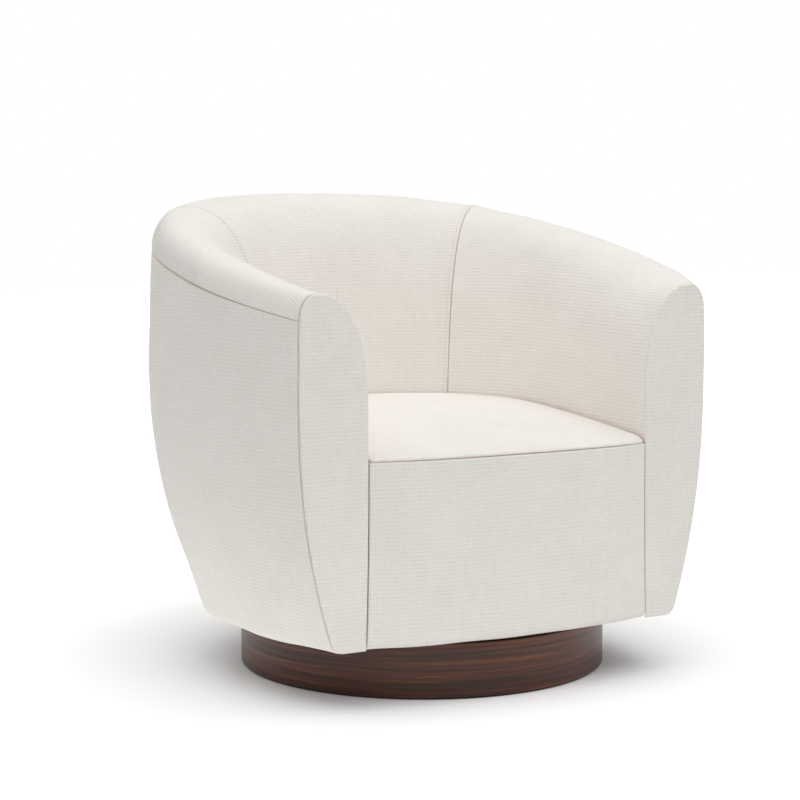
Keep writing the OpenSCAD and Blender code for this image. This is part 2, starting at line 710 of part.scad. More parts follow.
// Swivel: two steel plates with raised races, balls in a cage between them, and a centre pin
upper_plate_z = board_z - plate_t;
ball_z = (plinth_top_z + upper_plate_z) / 2;
race_space = 2;
module race_ring(low, high) {
    difference() {
        translate([0, 0, low]) difference() {
            cylinder(d = race_d + race_w, h = high - low, $fn = 96);
            translate([0, 0, -over]) cylinder(d = race_d - race_w, h = high - low + 2 * over, $fn = 96);
        }
        race_groove();
    }
}
module race_groove() {
    rotate_extrude($fn = 96) translate([race_d / 2, ball_z]) circle(d = ball_d + 2 * run_gap, $fn = 32);
}
module swivel_plate(z) {
    difference() {
        translate([0, 0, z]) cylinder(r = plate_r, h = plate_t, $fn = 96);
        translate([0, 0, z - over]) cylinder(d = pin_d + 2 * run_gap, h = plate_t + 2 * over, $fn = 48);
        bolt_holes(z - over, plate_t + 2 * over);
        race_groove();
    }
}
module swivel_lower_plate() {
    color(steel) union() {
        swivel_plate(plate_z);
        race_ring(plinth_top_z, ball_z - race_space);
    }
}
module swivel_upper_plate() {
    color(steel) union() {
        swivel_plate(upper_plate_z);
        race_ring(ball_z + race_space, upper_plate_z);
    }
}
head_d = 1.6 * bolt_d;
head_h = 0.5 * bolt_d;
module plate_bolts(head_z, shank_z, shank_l) {
    for (i = [0:3]) rotate([0, 0, 45 + 90 * i]) translate([bolt_circle_d / 2, 0, 0]) {
        translate([0, 0, head_z]) cylinder(d = head_d, h = head_h, $fn = 24);
        translate([0, 0, shank_z]) cylinder(d = bolt_d - 2 * gap, h = shank_l, $fn = 24);
    }
}
module lower_plate_bolts() {
    color(steel) plate_bolts(plinth_top_z, plinth_board_z, plinth_top_z - plinth_board_z);
}
module upper_plate_bolts() {
    color(steel) plate_bolts(upper_plate_z - head_h, upper_plate_z, plate_t + board_t);
}
washer_t = 0.1 * pin_d;
nut_d = 1.7 * pin_d;
nut_h = 0.4 * pin_d;
pin_head_h = 0.3 * pin_d;
module centre_pin() {
    top = board_z + gap + washer_t + nut_h;
    color(steel) union() {
        translate([0, 0, plate_z]) cylinder(d = pin_d, h = top - plate_z, $fn = 48);
        translate([0, 0, plate_z - pin_head_h]) cylinder(d = 2 * pin_d, h = pin_head_h, $fn = 48);
    }
}
module pin_washer() {
    color(steel) translate([0, 0, board_z + gap]) difference() {
        cylinder(d = 2 * pin_d, h = washer_t, $fn = 48);
        translate([0, 0, -over]) cylinder(d = pin_d + 2 * run_gap, h = washer_t + 2 * over, $fn = 48);
    }
}
module pin_nut() {
    color(steel) translate([0, 0, board_z + gap + washer_t]) difference() {
        cylinder(d = nut_d, h = nut_h, $fn = 6);
        translate([0, 0, -over]) cylinder(d = pin_d + 2 * run_gap, h = nut_h + 2 * over, $fn = 48);
    }
}
cage_t = 1.6;
cage_w = 20;
module ball_cage() {
    color([0.85, 0.8, 0.6]) difference() {
        translate([0, 0, ball_z - cage_t / 2]) difference() {
            cylinder(d = race_d + cage_w, h = cage_t, $fn = 96);
            translate([0, 0, -over]) cylinder(d = race_d - cage_w, h = cage_t + 2 * over, $fn = 96);
        }
        for (i = [0:ball_n - 1]) rotate([0, 0, 360 / ball_n * i])
            translate([race_d / 2, 0, ball_z - cage_t])
                cylinder(d = ball_d + 2 * run_gap, h = 2 * cage_t, $fn = 24);
    }
}
module bearing_balls() {
    color(steel) for (i = [0:ball_n - 1]) rotate([0, 0, 360 / ball_n * i])
        translate([race_d / 2, 0, ball_z]) sphere(d = ball_d, $fn = 24);
}

floor_pad();
plinth_ring();
plinth_floor_board();
plinth_top_board();
plinth_blocks();
swivel_lower_plate();
lower_plate_bolts();
centre_pin();
pin_washer();
pin_nut();
ball_cage();
bearing_balls();
swivel_upper_plate();
upper_plate_bolts();
frame_bottom_rib();
frame_bottom_board();
dust_cover();
ribs_left();
ribs_right();
ribs_back();
seat_rail();
front_rail();
top_rail();
arm_board_left();
arm_board_right();
corner_blocks();
seat_springs();
spring_clips();
spring_cloth();
outside_left();
outside_right();
outside_back();
arm_pad_left();
arm_pad_right();
inside_back();
arm_front_left();
arm_front_right();
seat_cushion();
seat_front();
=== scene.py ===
"""Swivel barrel chair: the upholstery, the walnut plinth and the finishes over the CAD frame."""
import json
import logging
import math
from collections.abc import Iterable
from dataclasses import dataclass, field
from enum import Enum

import bpy
import numpy as np
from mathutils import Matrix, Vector

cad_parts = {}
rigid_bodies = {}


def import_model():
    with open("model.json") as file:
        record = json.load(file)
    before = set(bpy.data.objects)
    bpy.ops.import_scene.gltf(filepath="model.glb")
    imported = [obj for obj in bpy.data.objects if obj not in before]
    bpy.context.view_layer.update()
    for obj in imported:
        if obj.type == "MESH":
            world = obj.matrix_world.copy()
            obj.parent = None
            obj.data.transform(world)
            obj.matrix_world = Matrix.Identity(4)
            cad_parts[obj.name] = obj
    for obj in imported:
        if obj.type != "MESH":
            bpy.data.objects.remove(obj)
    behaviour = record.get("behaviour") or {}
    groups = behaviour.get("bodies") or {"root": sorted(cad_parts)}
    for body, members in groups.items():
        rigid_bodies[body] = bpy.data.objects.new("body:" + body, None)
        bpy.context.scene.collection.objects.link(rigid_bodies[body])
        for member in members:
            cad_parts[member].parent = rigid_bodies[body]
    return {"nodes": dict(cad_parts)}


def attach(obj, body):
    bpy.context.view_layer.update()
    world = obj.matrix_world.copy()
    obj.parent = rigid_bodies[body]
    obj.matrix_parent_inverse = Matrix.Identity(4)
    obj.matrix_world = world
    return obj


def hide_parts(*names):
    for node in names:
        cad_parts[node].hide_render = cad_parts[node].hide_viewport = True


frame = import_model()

log = logging.getLogger("barrel_chair")
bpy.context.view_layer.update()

CLOTH_MAP = "Cloth"
ROUND_STOPS = np.array([0.0, 0.1, 0.3, 0.6, 1.0, 1.6])
Tone = tuple[int, int, int]
Scale = tuple[float, float, float]
Socket = bpy.types.NodeSocket


class Side(Enum):
    """A side of the chair, seen from the front."""

    LEFT = -1
    RIGHT = 1


class Border(Enum):
    """A border of a padded panel's grid of points."""

    START = "start"
    END = "end"
    LOW = "low"
    HIGH = "high"


class Body(Enum):
    """A CAD body that the new pieces ride on."""

    BASE = "base"
    CHAIR = "chair"


# Shapes of lines and grids


def run_along(points: np.ndarray) -> np.ndarray:
    """Length of a line of points up to each of its points, along the first axis."""
    steps = np.linalg.norm(np.diff(points, axis=0), axis=-1)
    return np.concatenate([np.zeros((1,) + steps.shape[1:]), np.cumsum(steps, axis=0)])


def resample(line: np.ndarray, shares: np.ndarray) -> np.ndarray:
    """Points at shares of a line's length.

    Args:
        line: Points of the line, one a row.
        shares: Places along it, from 0 to 1.

    Returns:
        One point for each share.
    """
    run = run_along(line)
    stops = shares * run[-1]
    return np.stack([np.interp(stops, run, line[:, k]) for k in range(line.shape[1])], axis=1)


def stops(length: float, step: float, start_r: float, end_r: float) -> np.ndarray:
    """Shares of a length that lie closer where its ends are rounded.

    Args:
        length: The whole length.
        step: Distance between the even stops in the middle.
        start_r: Radius of the rounding at the start, 0 for none.
        end_r: Radius of the rounding at the end, 0 for none.

    Returns:
        Rising shares from 0 to 1.
    """
    start = ROUND_STOPS * start_r if start_r > 0 else ROUND_STOPS[:1]
    end = ROUND_STOPS * end_r if end_r > 0 else ROUND_STOPS[:1]
    count = max(2, round((length - start[-1] - end[-1]) / step))
    middle = np.linspace(start[-1], length - end[-1], count + 1)
    return np.concatenate([start[:-1], middle, (length - end[:-1])[::-1]]) / length


def grid_normals(points: np.ndarray) -> np.ndarray:
    """Unit normals of a grid of points, outwards where columns cross rows right-handed."""
    normal = np.cross(np.gradient(points, axis=0), np.gradient(points, axis=1))
    return normal / np.maximum(np.linalg.norm(normal, axis=2, keepdims=True), 1e-12)


def rounding_depth(distance: np.ndarray, radius: np.ndarray) -> np.ndarray:
    """How far a quarter-round edge falls back at distances from its border."""
    radius = np.broadcast_to(np.maximum(radius, 1e-9), distance.shape)
    rest = np.clip(radius - distance, 0, radius)
    return radius - np.sqrt(radius**2 - rest**2)


def smooth_noise(points: np.ndarray, size: float, seed: int) -> np.ndarray:
    """A soft wave pattern in space from a few sines, about -1 to 1.

    Args:
        points: Points in metres, with three numbers each.
        size: Length of its waves in metres.
        seed: Seed of the directions and phases.

    Returns:
        One value for each point.
    """
    rng = np.random.default_rng(seed)
    total = np.zeros(points.shape[:-1])
    waves = 7
    for _ in range(waves):
        way = rng.normal(size=3)
        way *= 2 * math.pi / (size * rng.uniform(0.7, 1.6) * np.linalg.norm(way))
        total += np.sin(points @ way + rng.uniform(0, 2 * math.pi))
    return total / math.sqrt(waves)


# The barrel's own form, in metres, by the same law as the CAD covers


@dataclass(frozen=True)
class Stations:
    """Sections of the body at places round its horseshoe plan."""

    share: np.ndarray
    ridge: np.ndarray
    out: np.ndarray
    top: np.ndarray
    seam: np.ndarray
    lip: np.ndarray
    wall: np.ndarray
    belly: np.ndarray


@dataclass(frozen=True)
class BarrelForm:
    """Sizes of the barrel body and the law of its sections."""

    body_w: float = 0.816
    front_d: float = 0.275
    back_d: float = 0.472
    back_h: float = 0.750
    arm_h: float = 0.611
    skirt_z: float = 0.089
    belly_z: float = 0.463
    arm_w: float = 0.165
    back_w: float = 0.204
    lip_w: tuple[float, float] = (0.028, 0.035)
    lip_h: tuple[float, float] = (0.039, 0.049)
    arch_h: tuple[float, float] = (0.168, 0.297)
    arch_exp: tuple[float, float] = (2.35, 2.8)
    back_lean: float = 0.028
    tuck: tuple[float, float] = (0.056, 0.140)
    top_tuck: tuple[float, float] = (0.009, 0.021)
    tuck_exp: float = 2.28
    tuck_round_exp: float = 0.86
    outer_turn: float = -0.022
    inner_turn: float = 0.235
    taper: float = 0.129
    taper_exp: float = 2.5
    outer_exp: float = 2.45
    inner_exp: float = 1.95
    spread_exp: float = 0.79
    seam_share: float = 0.46
    skirt_r: float = 0.014
    flap_w: float = 0.034
    seat_z: float = 0.365
    cover_t: float = 0.006
    panel_t: float = 0.008
    gap: float = 0.0003
    seam_sweep: float = 0.19
    sweep_share: float = 0.13
    sweep_exp: float = 1.6
    low_bow: float = 0.035
    high_bow: float = 0.024
    bow_exp: float = 2.9
    border_flare: float = 0.0045
    seat_rise: float = 0.031
    seat_rise_exp: float = 2.2
    seat_roll: float = 0.009

    def corner_seam(self, shares: np.ndarray) -> np.ndarray:
        """Place of the pads' corner seam at shares of a section: it sweeps forward down the roll."""
        swept = np.clip(1 - shares / self.sweep_share, 0, 1) ** self.sweep_exp
        return self.seam_share - self.seam_sweep * swept

    @property
    def seat_w(self) -> float:
        """Width between the arms."""
        return self.body_w - 2 * self.arm_w

    @property
    def inside_back_d(self) -> float:
        """From the swivel axis to the inside back at seat height."""
        return self.back_d - self.back_w

    @property
    def outer_turn_y(self) -> float:
        """Where the outside's plan starts to turn round the back."""
        return self.outer_turn * self.front_d

    def bend(self, t: np.ndarray, half: float, turn: float, back: float, full: float) -> np.ndarray:
        """A quarter of a full oval in plan, from the side to the middle of the back."""
        angle = np.clip(t, 0, 1) * math.pi / 2
        x = half * np.cos(angle) ** (2 / full)
        y = turn + (back - turn) * np.sin(angle) ** (2 / full)
        return np.stack([x, y], axis=1)

    def outer_plan(self, t: np.ndarray, front: float) -> np.ndarray:
        """Plan of the outside at the belly: t is -1 to 0 along the arm, 0 to 1 round the back."""
        turn = self.outer_turn_y
        y = turn + t * (turn - front)
        past = np.maximum(0, (turn - y) / (turn + self.front_d))
        half = self.body_w / 2 * (1 - self.taper * past**self.taper_exp)
        arm = np.stack([half, y], axis=1)
        return np.where(t[:, None] < 0, arm, self.bend(t, self.body_w / 2, turn, self.back_d, self.outer_exp))

    def inner_plan(self, t: np.ndarray, front: float) -> np.ndarray:
        """Plan of the inside at seat height, for the same t as the outside."""
        turn, inner = self.outer_turn_y, self.inner_turn * self.front_d
        start = math.asin(((inner - turn) / (self.back_d - turn)) ** (self.outer_exp / 2)) / (math.pi / 2)
        v = np.maximum(0, (t - start) / (1 - start)) ** self.spread_exp
        curve = self.bend(v, self.seat_w / 2, inner, self.inside_back_d, self.inner_exp)
        side = np.stack([np.full(len(t), self.seat_w / 2), self.outer_plan(t, front)[:, 1]], axis=1)
        return np.where(t[:, None] < start, side, curve)

    def mix(self, pair: tuple[float, float], t: np.ndarray) -> np.ndarray:
        """A size that changes from the arm front to the corner seam, eased at both ends."""
        v = np.clip((t + 1) / (1 + self.seam_share), 0, 1)
        return pair[0] + (pair[1] - pair[0]) * v * v * (3 - 2 * v)

    def draw_in(self, out_y: np.ndarray, z: np.ndarray) -> np.ndarray:
        """How far the outside draws in from the belly at a height."""
        turn = np.maximum(0, out_y) ** self.tuck_round_exp
        low = np.maximum(0, (self.belly_z - z) / (self.belly_z - self.skirt_z)) ** self.tuck_exp
        high = np.maximum(0, (z - self.belly_z) / (self.back_h - self.belly_z)) ** 2
        tuck = self.tuck[0] + (self.tuck[1] - self.tuck[0]) * turn
        top = self.top_tuck[0] + (self.top_tuck[1] - self.top_tuck[0]) * turn
        return tuck * low + top * high

    def ridge_z(self, y: np.ndarray) -> np.ndarray:
        """Height of the ridge, which falls in one plane from the back to the arm fronts."""
        back_y = self.back_d - self.top_tuck[1] - self.lip_w[1]
        return self.back_h - (self.back_h - self.arm_h) / (back_y + self.front_d) * (back_y - y)

    def stations(self, t: np.ndarray, front: float | None = None) -> Stations:
        """The sections at places round the plan.

        Args:
            t: Places, -1 to 0 along the arm and 0 to 1 round the back, on the right side.
            front: Where the arm starts, behind the arm front panel if not given.

        Returns:
            The stations, one for each place.
        """
        if front is None:
            front = -self.front_d + self.panel_t + self.gap
        o, i = self.outer_plan(t, front), self.inner_plan(t, front)
        whole = np.linalg.norm(o - i, axis=1)
        w = (o - i) / whole[:, None]
        lip_w, lip_h = self.mix(self.lip_w, t), self.mix(self.lip_h, t)
        rough = self.ridge_z((o - lip_w[:, None] * w)[:, 1]) - lip_h
        drawn = self.draw_in(w[:, 1], rough)
        seam = self.ridge_z((o - (lip_w + drawn)[:, None] * w)[:, 1]) - lip_h
        wall = whole - self.draw_in(w[:, 1], seam) - lip_w
        return Stations(t, i + wall[:, None] * w, w, seam + lip_h, seam, lip_w, wall, whole - wall)

    def outer_d(self, st: Stations, k: int, z: np.ndarray) -> np.ndarray:
        """Distance of the outside from the ridge at heights, at station k."""
        return st.belly[k] - self.draw_in(st.out[k, 1], np.minimum(z, st.seam[k]))

    def outside_line(self, st: Stations, k: int) -> np.ndarray:
        """Section of the outside from its flap under the frame up to the roll's seam."""
        low, high = self.skirt_z, self.skirt_z + self.skirt_r
        at = self.outer_d(st, k, np.array([low, high]))
        a, b, c = np.array([at[0] - self.skirt_r, low]), np.array([at[0], low]), np.array([at[1], high])
        v = np.linspace(0, 1, 9)[:, None]
        turn = a * (1 - v) ** 2 + b * 2 * v * (1 - v) + c * v**2
        z = np.linspace(high, st.seam[k], 60)[1:]
        flap = np.array([[at[0] - self.flap_w, low]])
        return np.concatenate([flap, turn, np.stack([self.outer_d(st, k, z), z], axis=1)])

    def inside_line(self, st: Stations, k: int, low_z: float) -> np.ndarray:
        """Section of the roll and the inside, from the outside seam over the ridge and down."""
        a = np.linspace(0, math.pi / 2, 25)
        rise = st.top[k] - st.seam[k]
        lip = np.stack([st.lip[k] * np.cos(a), st.seam[k] + rise * np.sin(a)], axis=1)
        here = st.share[k : k + 1]
        full, tall = self.mix(self.arch_exp, here)[0], self.mix(self.arch_h, here)[0]
        lean = self.mix((0, self.back_lean), here)[0]
        reach = st.top[k] - self.seat_z - self.gap
        b = (math.pi / 2) * (1 - np.linspace(0, 1, 140) ** 1.4)[1:]
        z = st.top[k] - tall * (1 - np.sin(b) ** (2 / full))
        z = np.append(z, low_z)
        share = np.append(np.cos(b) ** (2 / full), 1.0)
        d = -(st.wall[k] - lean) * share - lean * (st.top[k] - z) / reach
        return np.concatenate([lip, np.stack([d, z], axis=1)])

    def inner_d(self, st: Stations, k: int, z: np.ndarray) -> np.ndarray:
        """Distance of the inside wall from the ridge at heights below its arch, negative inwards."""
        lean = self.mix((0, self.back_lean), st.share[k : k + 1])[0]
        reach = st.top[k] - self.seat_z - self.gap
        return -(st.wall[k] - lean) - lean * (st.top[k] - z) / reach

    def place(self, st: Stations, k: int, line: np.ndarray) -> np.ndarray:
        """Points in space of a section's line of distances and heights."""
        xy = st.ridge[k] + line[:, :1] * st.out[k]
        return np.concatenate([xy, line[:, 1:]], axis=1)

    def spaced(self, start: float, end: float, step: float, start_r: float, end_r: float) -> np.ndarray:
        """Places from start to end that lie evenly along the ridge, and closer at rounded ends."""
        dense = np.linspace(start, end, 400)
        run = run_along(self.stations(dense).ridge)
        return np.interp(stops(run[-1], step, start_r, end_r) * run[-1], run, dense)

    def bow_y(self, x: np.ndarray, half: float) -> np.ndarray:
        """Front of the bowed seat at places across it."""
        return -self.front_d - self.high_bow * (1 - np.minimum(1, np.abs(x) / half) ** self.bow_exp)

    def border_half(self, z: np.ndarray) -> np.ndarray:
        """Half the width of the seat's front border at heights."""
        fall = np.maximum(0, (self.seat_z - z) / (self.seat_z - self.skirt_z))
        return self.seat_w / 2 - 2 * self.gap + self.border_flare * fall**2

    def seat_edge_z(self, x: np.ndarray, y: np.ndarray) -> np.ndarray:
        """Height of the seat's edge: it rises behind the front seam and towards the back."""
        deep = np.clip((y + self.front_d) / (self.inside_back_d + self.front_d), 0, 1)
        near = np.clip((y - self.bow_y(x, self.seat_w / 2)) / self.high_bow, 0, 1)
        back_rise = self.seat_rise * (1 - (1 - deep) ** self.seat_rise_exp)
        return self.seat_z + self.gap + back_rise + self.seat_roll * (1 - (1 - near) ** 2)


# Finishes


def linear(tone: Tone) -> tuple[float, float, float, float]:
    """A tone of 0 to 255 steps as an opaque colour in linear light."""
    shares = [step / 255 for step in tone]
    return (*(c / 12.92 if c <= 0.04045 else ((c + 0.055) / 1.055) ** 2.4 for c in shares), 1.0)


class NodeBench:
    """The node tree of a material or of the world, under construction."""

    def __init__(
        self, owner: bpy.types.Material | bpy.types.World, shader: str = "ShaderNodeBsdfPrincipled"
    ) -> None:
        """Starts an empty tree with one shader on its output.

        Args:
            owner: The material or the world that the tree belongs to.
            shader: Kind of the shader's node.
        """
        output = "ShaderNodeOutputWorld" if isinstance(owner, bpy.types.World) else "ShaderNodeOutputMaterial"
        owner.use_nodes = True
        self.owner, self.tree = owner, owner.node_tree
        self.tree.nodes.clear()
        self.shader = self.add(shader)
        self.link(self.shader.outputs[0], self.add(output).inputs["Surface"])

    def add(self, kind: str, **settings: object) -> bpy.types.Node:
        """Adds a node and sets its own properties."""
        node = self.tree.nodes.new(kind)
        for key, value in settings.items():
            setattr(node, key, value)
        return node

    def link(self, source: Socket, target: Socket) -> None:
        """Joins two sockets."""
        self.tree.links.new(source, target)

    def put(self, target: Socket, value: object) -> None:
        """Feeds a socket from another socket, or sets it to a constant."""
        if isinstance(value, Socket):
            self.link(value, target)
        else:
            target.default_value = value

    def calc(self, kind: str, *values: object) -> Socket:
        """A Math node over sockets and numbers."""
        node = self.add("ShaderNodeMath", operation=kind)
        for k, value in enumerate(values):
            self.put(node.inputs[k], value)
        return node.outputs[0]

    def weigh(self, parts: Iterable[Socket], weights: Iterable[float], base: float = 0) -> Socket:
        """A base number and the sum of parts times their weights."""
        total = base
        for part, weight in zip(parts, weights):
            total = self.calc("MULTIPLY_ADD", part, weight, total)
        return total

    def spread(
        self, value: Socket, source: tuple[float, float], target: tuple[float, float], kind: str = "LINEAR"
    ) -> Socket:
        """Moves a value from one range of numbers to another."""
        node = self.add("ShaderNodeMapRange", interpolation_type=kind)
        for name, number in zip(("From Min", "From Max", "To Min", "To Max"), (*source, *target)):
            node.inputs[name].default_value = number
        self.link(value, node.inputs["Value"])
        return node.outputs["Result"]

    def coordinates(self, scale: Scale, uv: bool = False) -> Socket:
        """Scaled object coordinates, or the piece's own cloth map.

        Args:
            scale: Repeats a metre along each axis.
            uv: Whether to read the cloth map.

        Returns:
            The mapped vector.
        """
        if uv:
            source = self.add("ShaderNodeUVMap", uv_map=CLOTH_MAP).outputs["UV"]
        else:
            source = self.add("ShaderNodeTexCoord").outputs["Object"]
        mapping = self.add("ShaderNodeMapping")
        mapping.inputs["Scale"].default_value = scale
        self.link(source, mapping.inputs["Vector"])
        return mapping.outputs["Vector"]

    def axes(self, uv: bool = False) -> tuple[Socket, ...]:
        """The object coordinates or the cloth map in metres, axis by axis."""
        parts = self.add("ShaderNodeSeparateXYZ")
        self.link(self.coordinates((1, 1, 1), uv), parts.inputs[0])
        return tuple(parts.outputs)

    def noise(self, scale: Scale, detail: float = 3, rough: float = 0.5, uv: bool = False) -> Socket:
        """Noise from 0 to 1.

        Args:
            scale: Repeats a metre along each axis.
            detail: Octaves of the noise.
            rough: Weight of the fine octaves.
            uv: Whether to lay it on the cloth map.

        Returns:
            The noise.
        """
        node = self.add("ShaderNodeTexNoise")
        node.inputs["Scale"].default_value = 1
        node.inputs["Detail"].default_value = detail
        node.inputs["Roughness"].default_value = rough
        self.link(self.coordinates(scale, uv), node.inputs["Vector"])
        return node.outputs["Fac"]

    def ramp(self, value: Socket, places: Iterable[float], tones: Iterable[Tone]) -> Socket:
        """Colours at places along a value.

        Args:
            value: The value from 0 to 1.
            places: Where each tone stands.
            tones: Tones of 0 to 255 steps.

        Returns:
            The colour.
        """
        node = self.add("ShaderNodeValToRGB")
        points, pairs = node.color_ramp.elements, list(zip(places, tones))
        while len(points) < len(pairs):
            points.new(0.5)
        for point, (place, tone) in zip(points, pairs):
            point.position, point.color = float(place), linear(tone)
        self.link(value, node.inputs["Fac"])
        return node.outputs["Color"]

    def shelter(self, reach: float, **settings: object) -> Socket:
        """How open the surface is within a reach, from 0 in a tight fold to 1."""
        node = self.add("ShaderNodeAmbientOcclusion", **settings)
        node.inputs["Distance"].default_value = reach
        return node.outputs["AO"]

    def blend(self, share: Socket, low: Tone, high: Socket) -> Socket:
        """A colour that goes from a plain tone to another as the share goes from 0 to 1."""
        node = self.add("ShaderNodeMix", data_type="RGBA")
        factor, first, second = node.inputs[0], node.inputs[6], node.inputs[7]
        self.link(share, factor)
        first.default_value = linear(low)
        self.link(high, second)
        return node.outputs[2]

    def relief(self, height: Socket, depth: float, strength: float = 1.0) -> None:
        """Bumps the shader's surface by a height of a depth in metres."""
        bump = self.add("ShaderNodeBump")
        bump.inputs["Distance"].default_value = depth
        bump.inputs["Strength"].default_value = strength
        self.link(height, bump.inputs["Height"])
        self.link(bump.outputs["Normal"], self.shader.inputs["Normal"])

    def set(self, **values: object) -> None:
        """Sets the shader's inputs, with underscores for the spaces in their names."""
        for key, value in values.items():
            self.put(self.shader.inputs[key.replace("_", " ")], value)


@dataclass(frozen=True)
class WeaveFinish:
    """Ivory upholstery cloth: level ribs crossed by finer upright threads, with painted shade in a warm
    darker tone in its folds.
    """

    name: str = "ivory_weave"
    high: Tone = (252, 248, 243)
    low: Tone = (227, 221, 212)
    # Painted shade: a warm darker tone that an occlusion mask lays into creases and folds, within this reach.
    painted_crease_shade: Tone = (228, 211, 199)
    crease_shade_reach: float = 0.009
    rib: float = 0.00585
    thread: float = 0.0046
    stagger: float = 0.06
    rib_stray: float = 0.0022
    rib_flow: Scale = (60, 60, 60)
    thread_stray: float = 0.002
    thread_flow: Scale = (45, 90, 1)
    plump: float = 0.7
    # Level in the gaps between threads: used for the relief, and for painted shade in those gaps.
    gap_level: float = 0.4
    mean_level: float = 0.6
    uneven: tuple[float, float] = (2.6, -0.3)
    slub: Scale = (55, 420, 1)
    fibre: Scale = (1700, 2300, 1)
    pile: Scale = (9, 9, 1)
    patch: Scale = (70, 38, 1)
    height_mix: tuple[float, ...] = (1, 0.55, 0.35)
    tone_mix: tuple[float, ...] = (0.30, 0.34, 0.28, 0.22)
    depth: float = 0.0007

    def stray(self, bench: NodeBench, place: Socket, noise: Socket, reach: float) -> Socket:
        """A place on the cloth that strays to both sides with a noise."""
        return bench.calc("MULTIPLY_ADD", bench.calc("SUBTRACT", noise, 0.5), reach, place)

    def crowns(self, bench: NodeBench, place: Socket, pitch: float, shift: object = 0) -> Socket:
        """Level of plump threads that repeat across the cloth.

        Args:
            bench: The cloth's node tree.
            place: The place across the threads, in metres.
            pitch: Distance from thread to thread.
            shift: How far round its wave a thread starts, in radians.

        Returns:
            The level, 1 on the threads' crowns.
        """
        wave = bench.calc("COSINE", bench.calc("MULTIPLY_ADD", place, math.tau / pitch, shift))
        crown = bench.calc("POWER", bench.calc("MULTIPLY_ADD", wave, 0.5, 0.5), self.plump)
        return bench.calc("MULTIPLY_ADD", crown, 1 - self.gap_level, self.gap_level)

    def build(self) -> bpy.types.Material:
        """Makes the cloth's material from its map in metres."""
        bench = NodeBench(bpy.data.materials.new(self.name))
        across, up, _ = bench.axes(uv=True)
        across = self.stray(bench, across, bench.noise(self.thread_flow, 1, uv=True), self.thread_stray)
        up = self.stray(bench, up, bench.noise(self.rib_flow, 2, uv=True), self.rib_stray)
        row = bench.calc("FLOOR", bench.calc("MULTIPLY", up, 1 / self.rib))
        shift = bench.calc("MULTIPLY", row, 2 * math.pi * self.stagger)
        ribs, threads = self.crowns(bench, up, self.rib), self.crowns(bench, across, self.thread, shift)
        slub = bench.noise(self.slub, 3, 0.6, uv=True)
        fibre = bench.noise(self.fibre, 3, 0.65, uv=True)
        pile = bench.noise(self.pile, 3, 0.55, uv=True)
        patch = bench.noise(self.patch, 2, 0.6, uv=True)
        even = bench.calc("SUBTRACT", bench.calc("MULTIPLY", ribs, threads), self.mean_level)
        uneven = bench.calc("MULTIPLY_ADD", patch, *self.uneven)
        knots = bench.calc("MULTIPLY_ADD", even, uneven, self.mean_level)
        # The tone follows the weave's knots: partly the threads' own colour, partly painted shade in the gaps
        # between threads.
        tone = bench.weigh((knots, slub, fibre, pile), self.tone_mix)
        plain = bench.ramp(tone, (0.2, 0.72), (self.low, self.high))
        # Painted shade: where the occlusion mask finds a crease or fold, the colour goes to the warm darker
        # crease tone.
        colour = bench.blend(bench.shelter(self.crease_shade_reach, samples=6), self.painted_crease_shade, plain)
        bench.set(Base_Color=colour, Roughness=0.92, Specular_IOR_Level=0.2)
        bench.set(Sheen_Weight=0.18, Sheen_Roughness=0.45)
        bench.relief(bench.weigh((knots, slub, fibre), self.height_mix), self.depth, 0.75)
        return bench.owner


@dataclass(frozen=True)
class StitchFinish:
    """Twisted sewing thread in the cloth's colour."""

    name: str = "ivory_thread"
    high: Tone = (238, 232, 224)
    low: Tone = (204, 198, 190)
    twist: Scale = (2500, 2500, 2500)
    depth: float = 0.0002

    def build(self) -> bpy.types.Material:
        """Makes the thread's material."""
        bench = NodeBench(bpy.data.materials.new(self.name))
        twist = bench.noise(self.twist, 2)
        bench.set(Base_Color=bench.ramp(twist, (0.3, 0.7), (self.low, self.high)), Roughness=0.6)
        bench.relief(twist, self.depth)
        return bench.owner


@dataclass(frozen=True)
class WoodFinish:
    """Wood with streaks along its faces: walnut veneer or pale ply."""

    name: str
    tones: tuple[Tone, ...]
    streak: Scale
    pore: Scale
    roughness: float
    coat: float
    warp: Scale = (4, 4, 6)
    broad_share: float = 0.32
    mix: tuple[float, ...] = (0.62, 0.35, 0.30, 0.12)
    shade: float = -0.20
    span: tuple[float, float] = (0.34, 0.68)
    pore_shine: float = 0.16
    pore_depth: float = 0.00012

    def build(self) -> bpy.types.Material:
        """Makes the wood's material on object coordinates."""
        bench = NodeBench(bpy.data.materials.new(self.name))
        streaks = bench.noise(self.streak, 6, 0.6)
        broad = bench.noise(tuple(scale * self.broad_share for scale in self.streak))
        pores = bench.noise(self.pore, 4, 0.7)
        tone = bench.weigh((streaks, broad, pores, bench.noise(self.warp, 2)), self.mix, self.shade)
        colour = bench.ramp(tone, np.linspace(*self.span, len(self.tones)), self.tones)
        shine = bench.calc("MULTIPLY_ADD", pores, -self.pore_shine, self.roughness + self.pore_shine / 2)
        bench.set(Base_Color=colour, Roughness=shine, Specular_IOR_Level=0.38)
        bench.set(Coat_Weight=self.coat, Coat_Roughness=0.12)
        bench.relief(pores, self.pore_depth, 0.6)
        return bench.owner


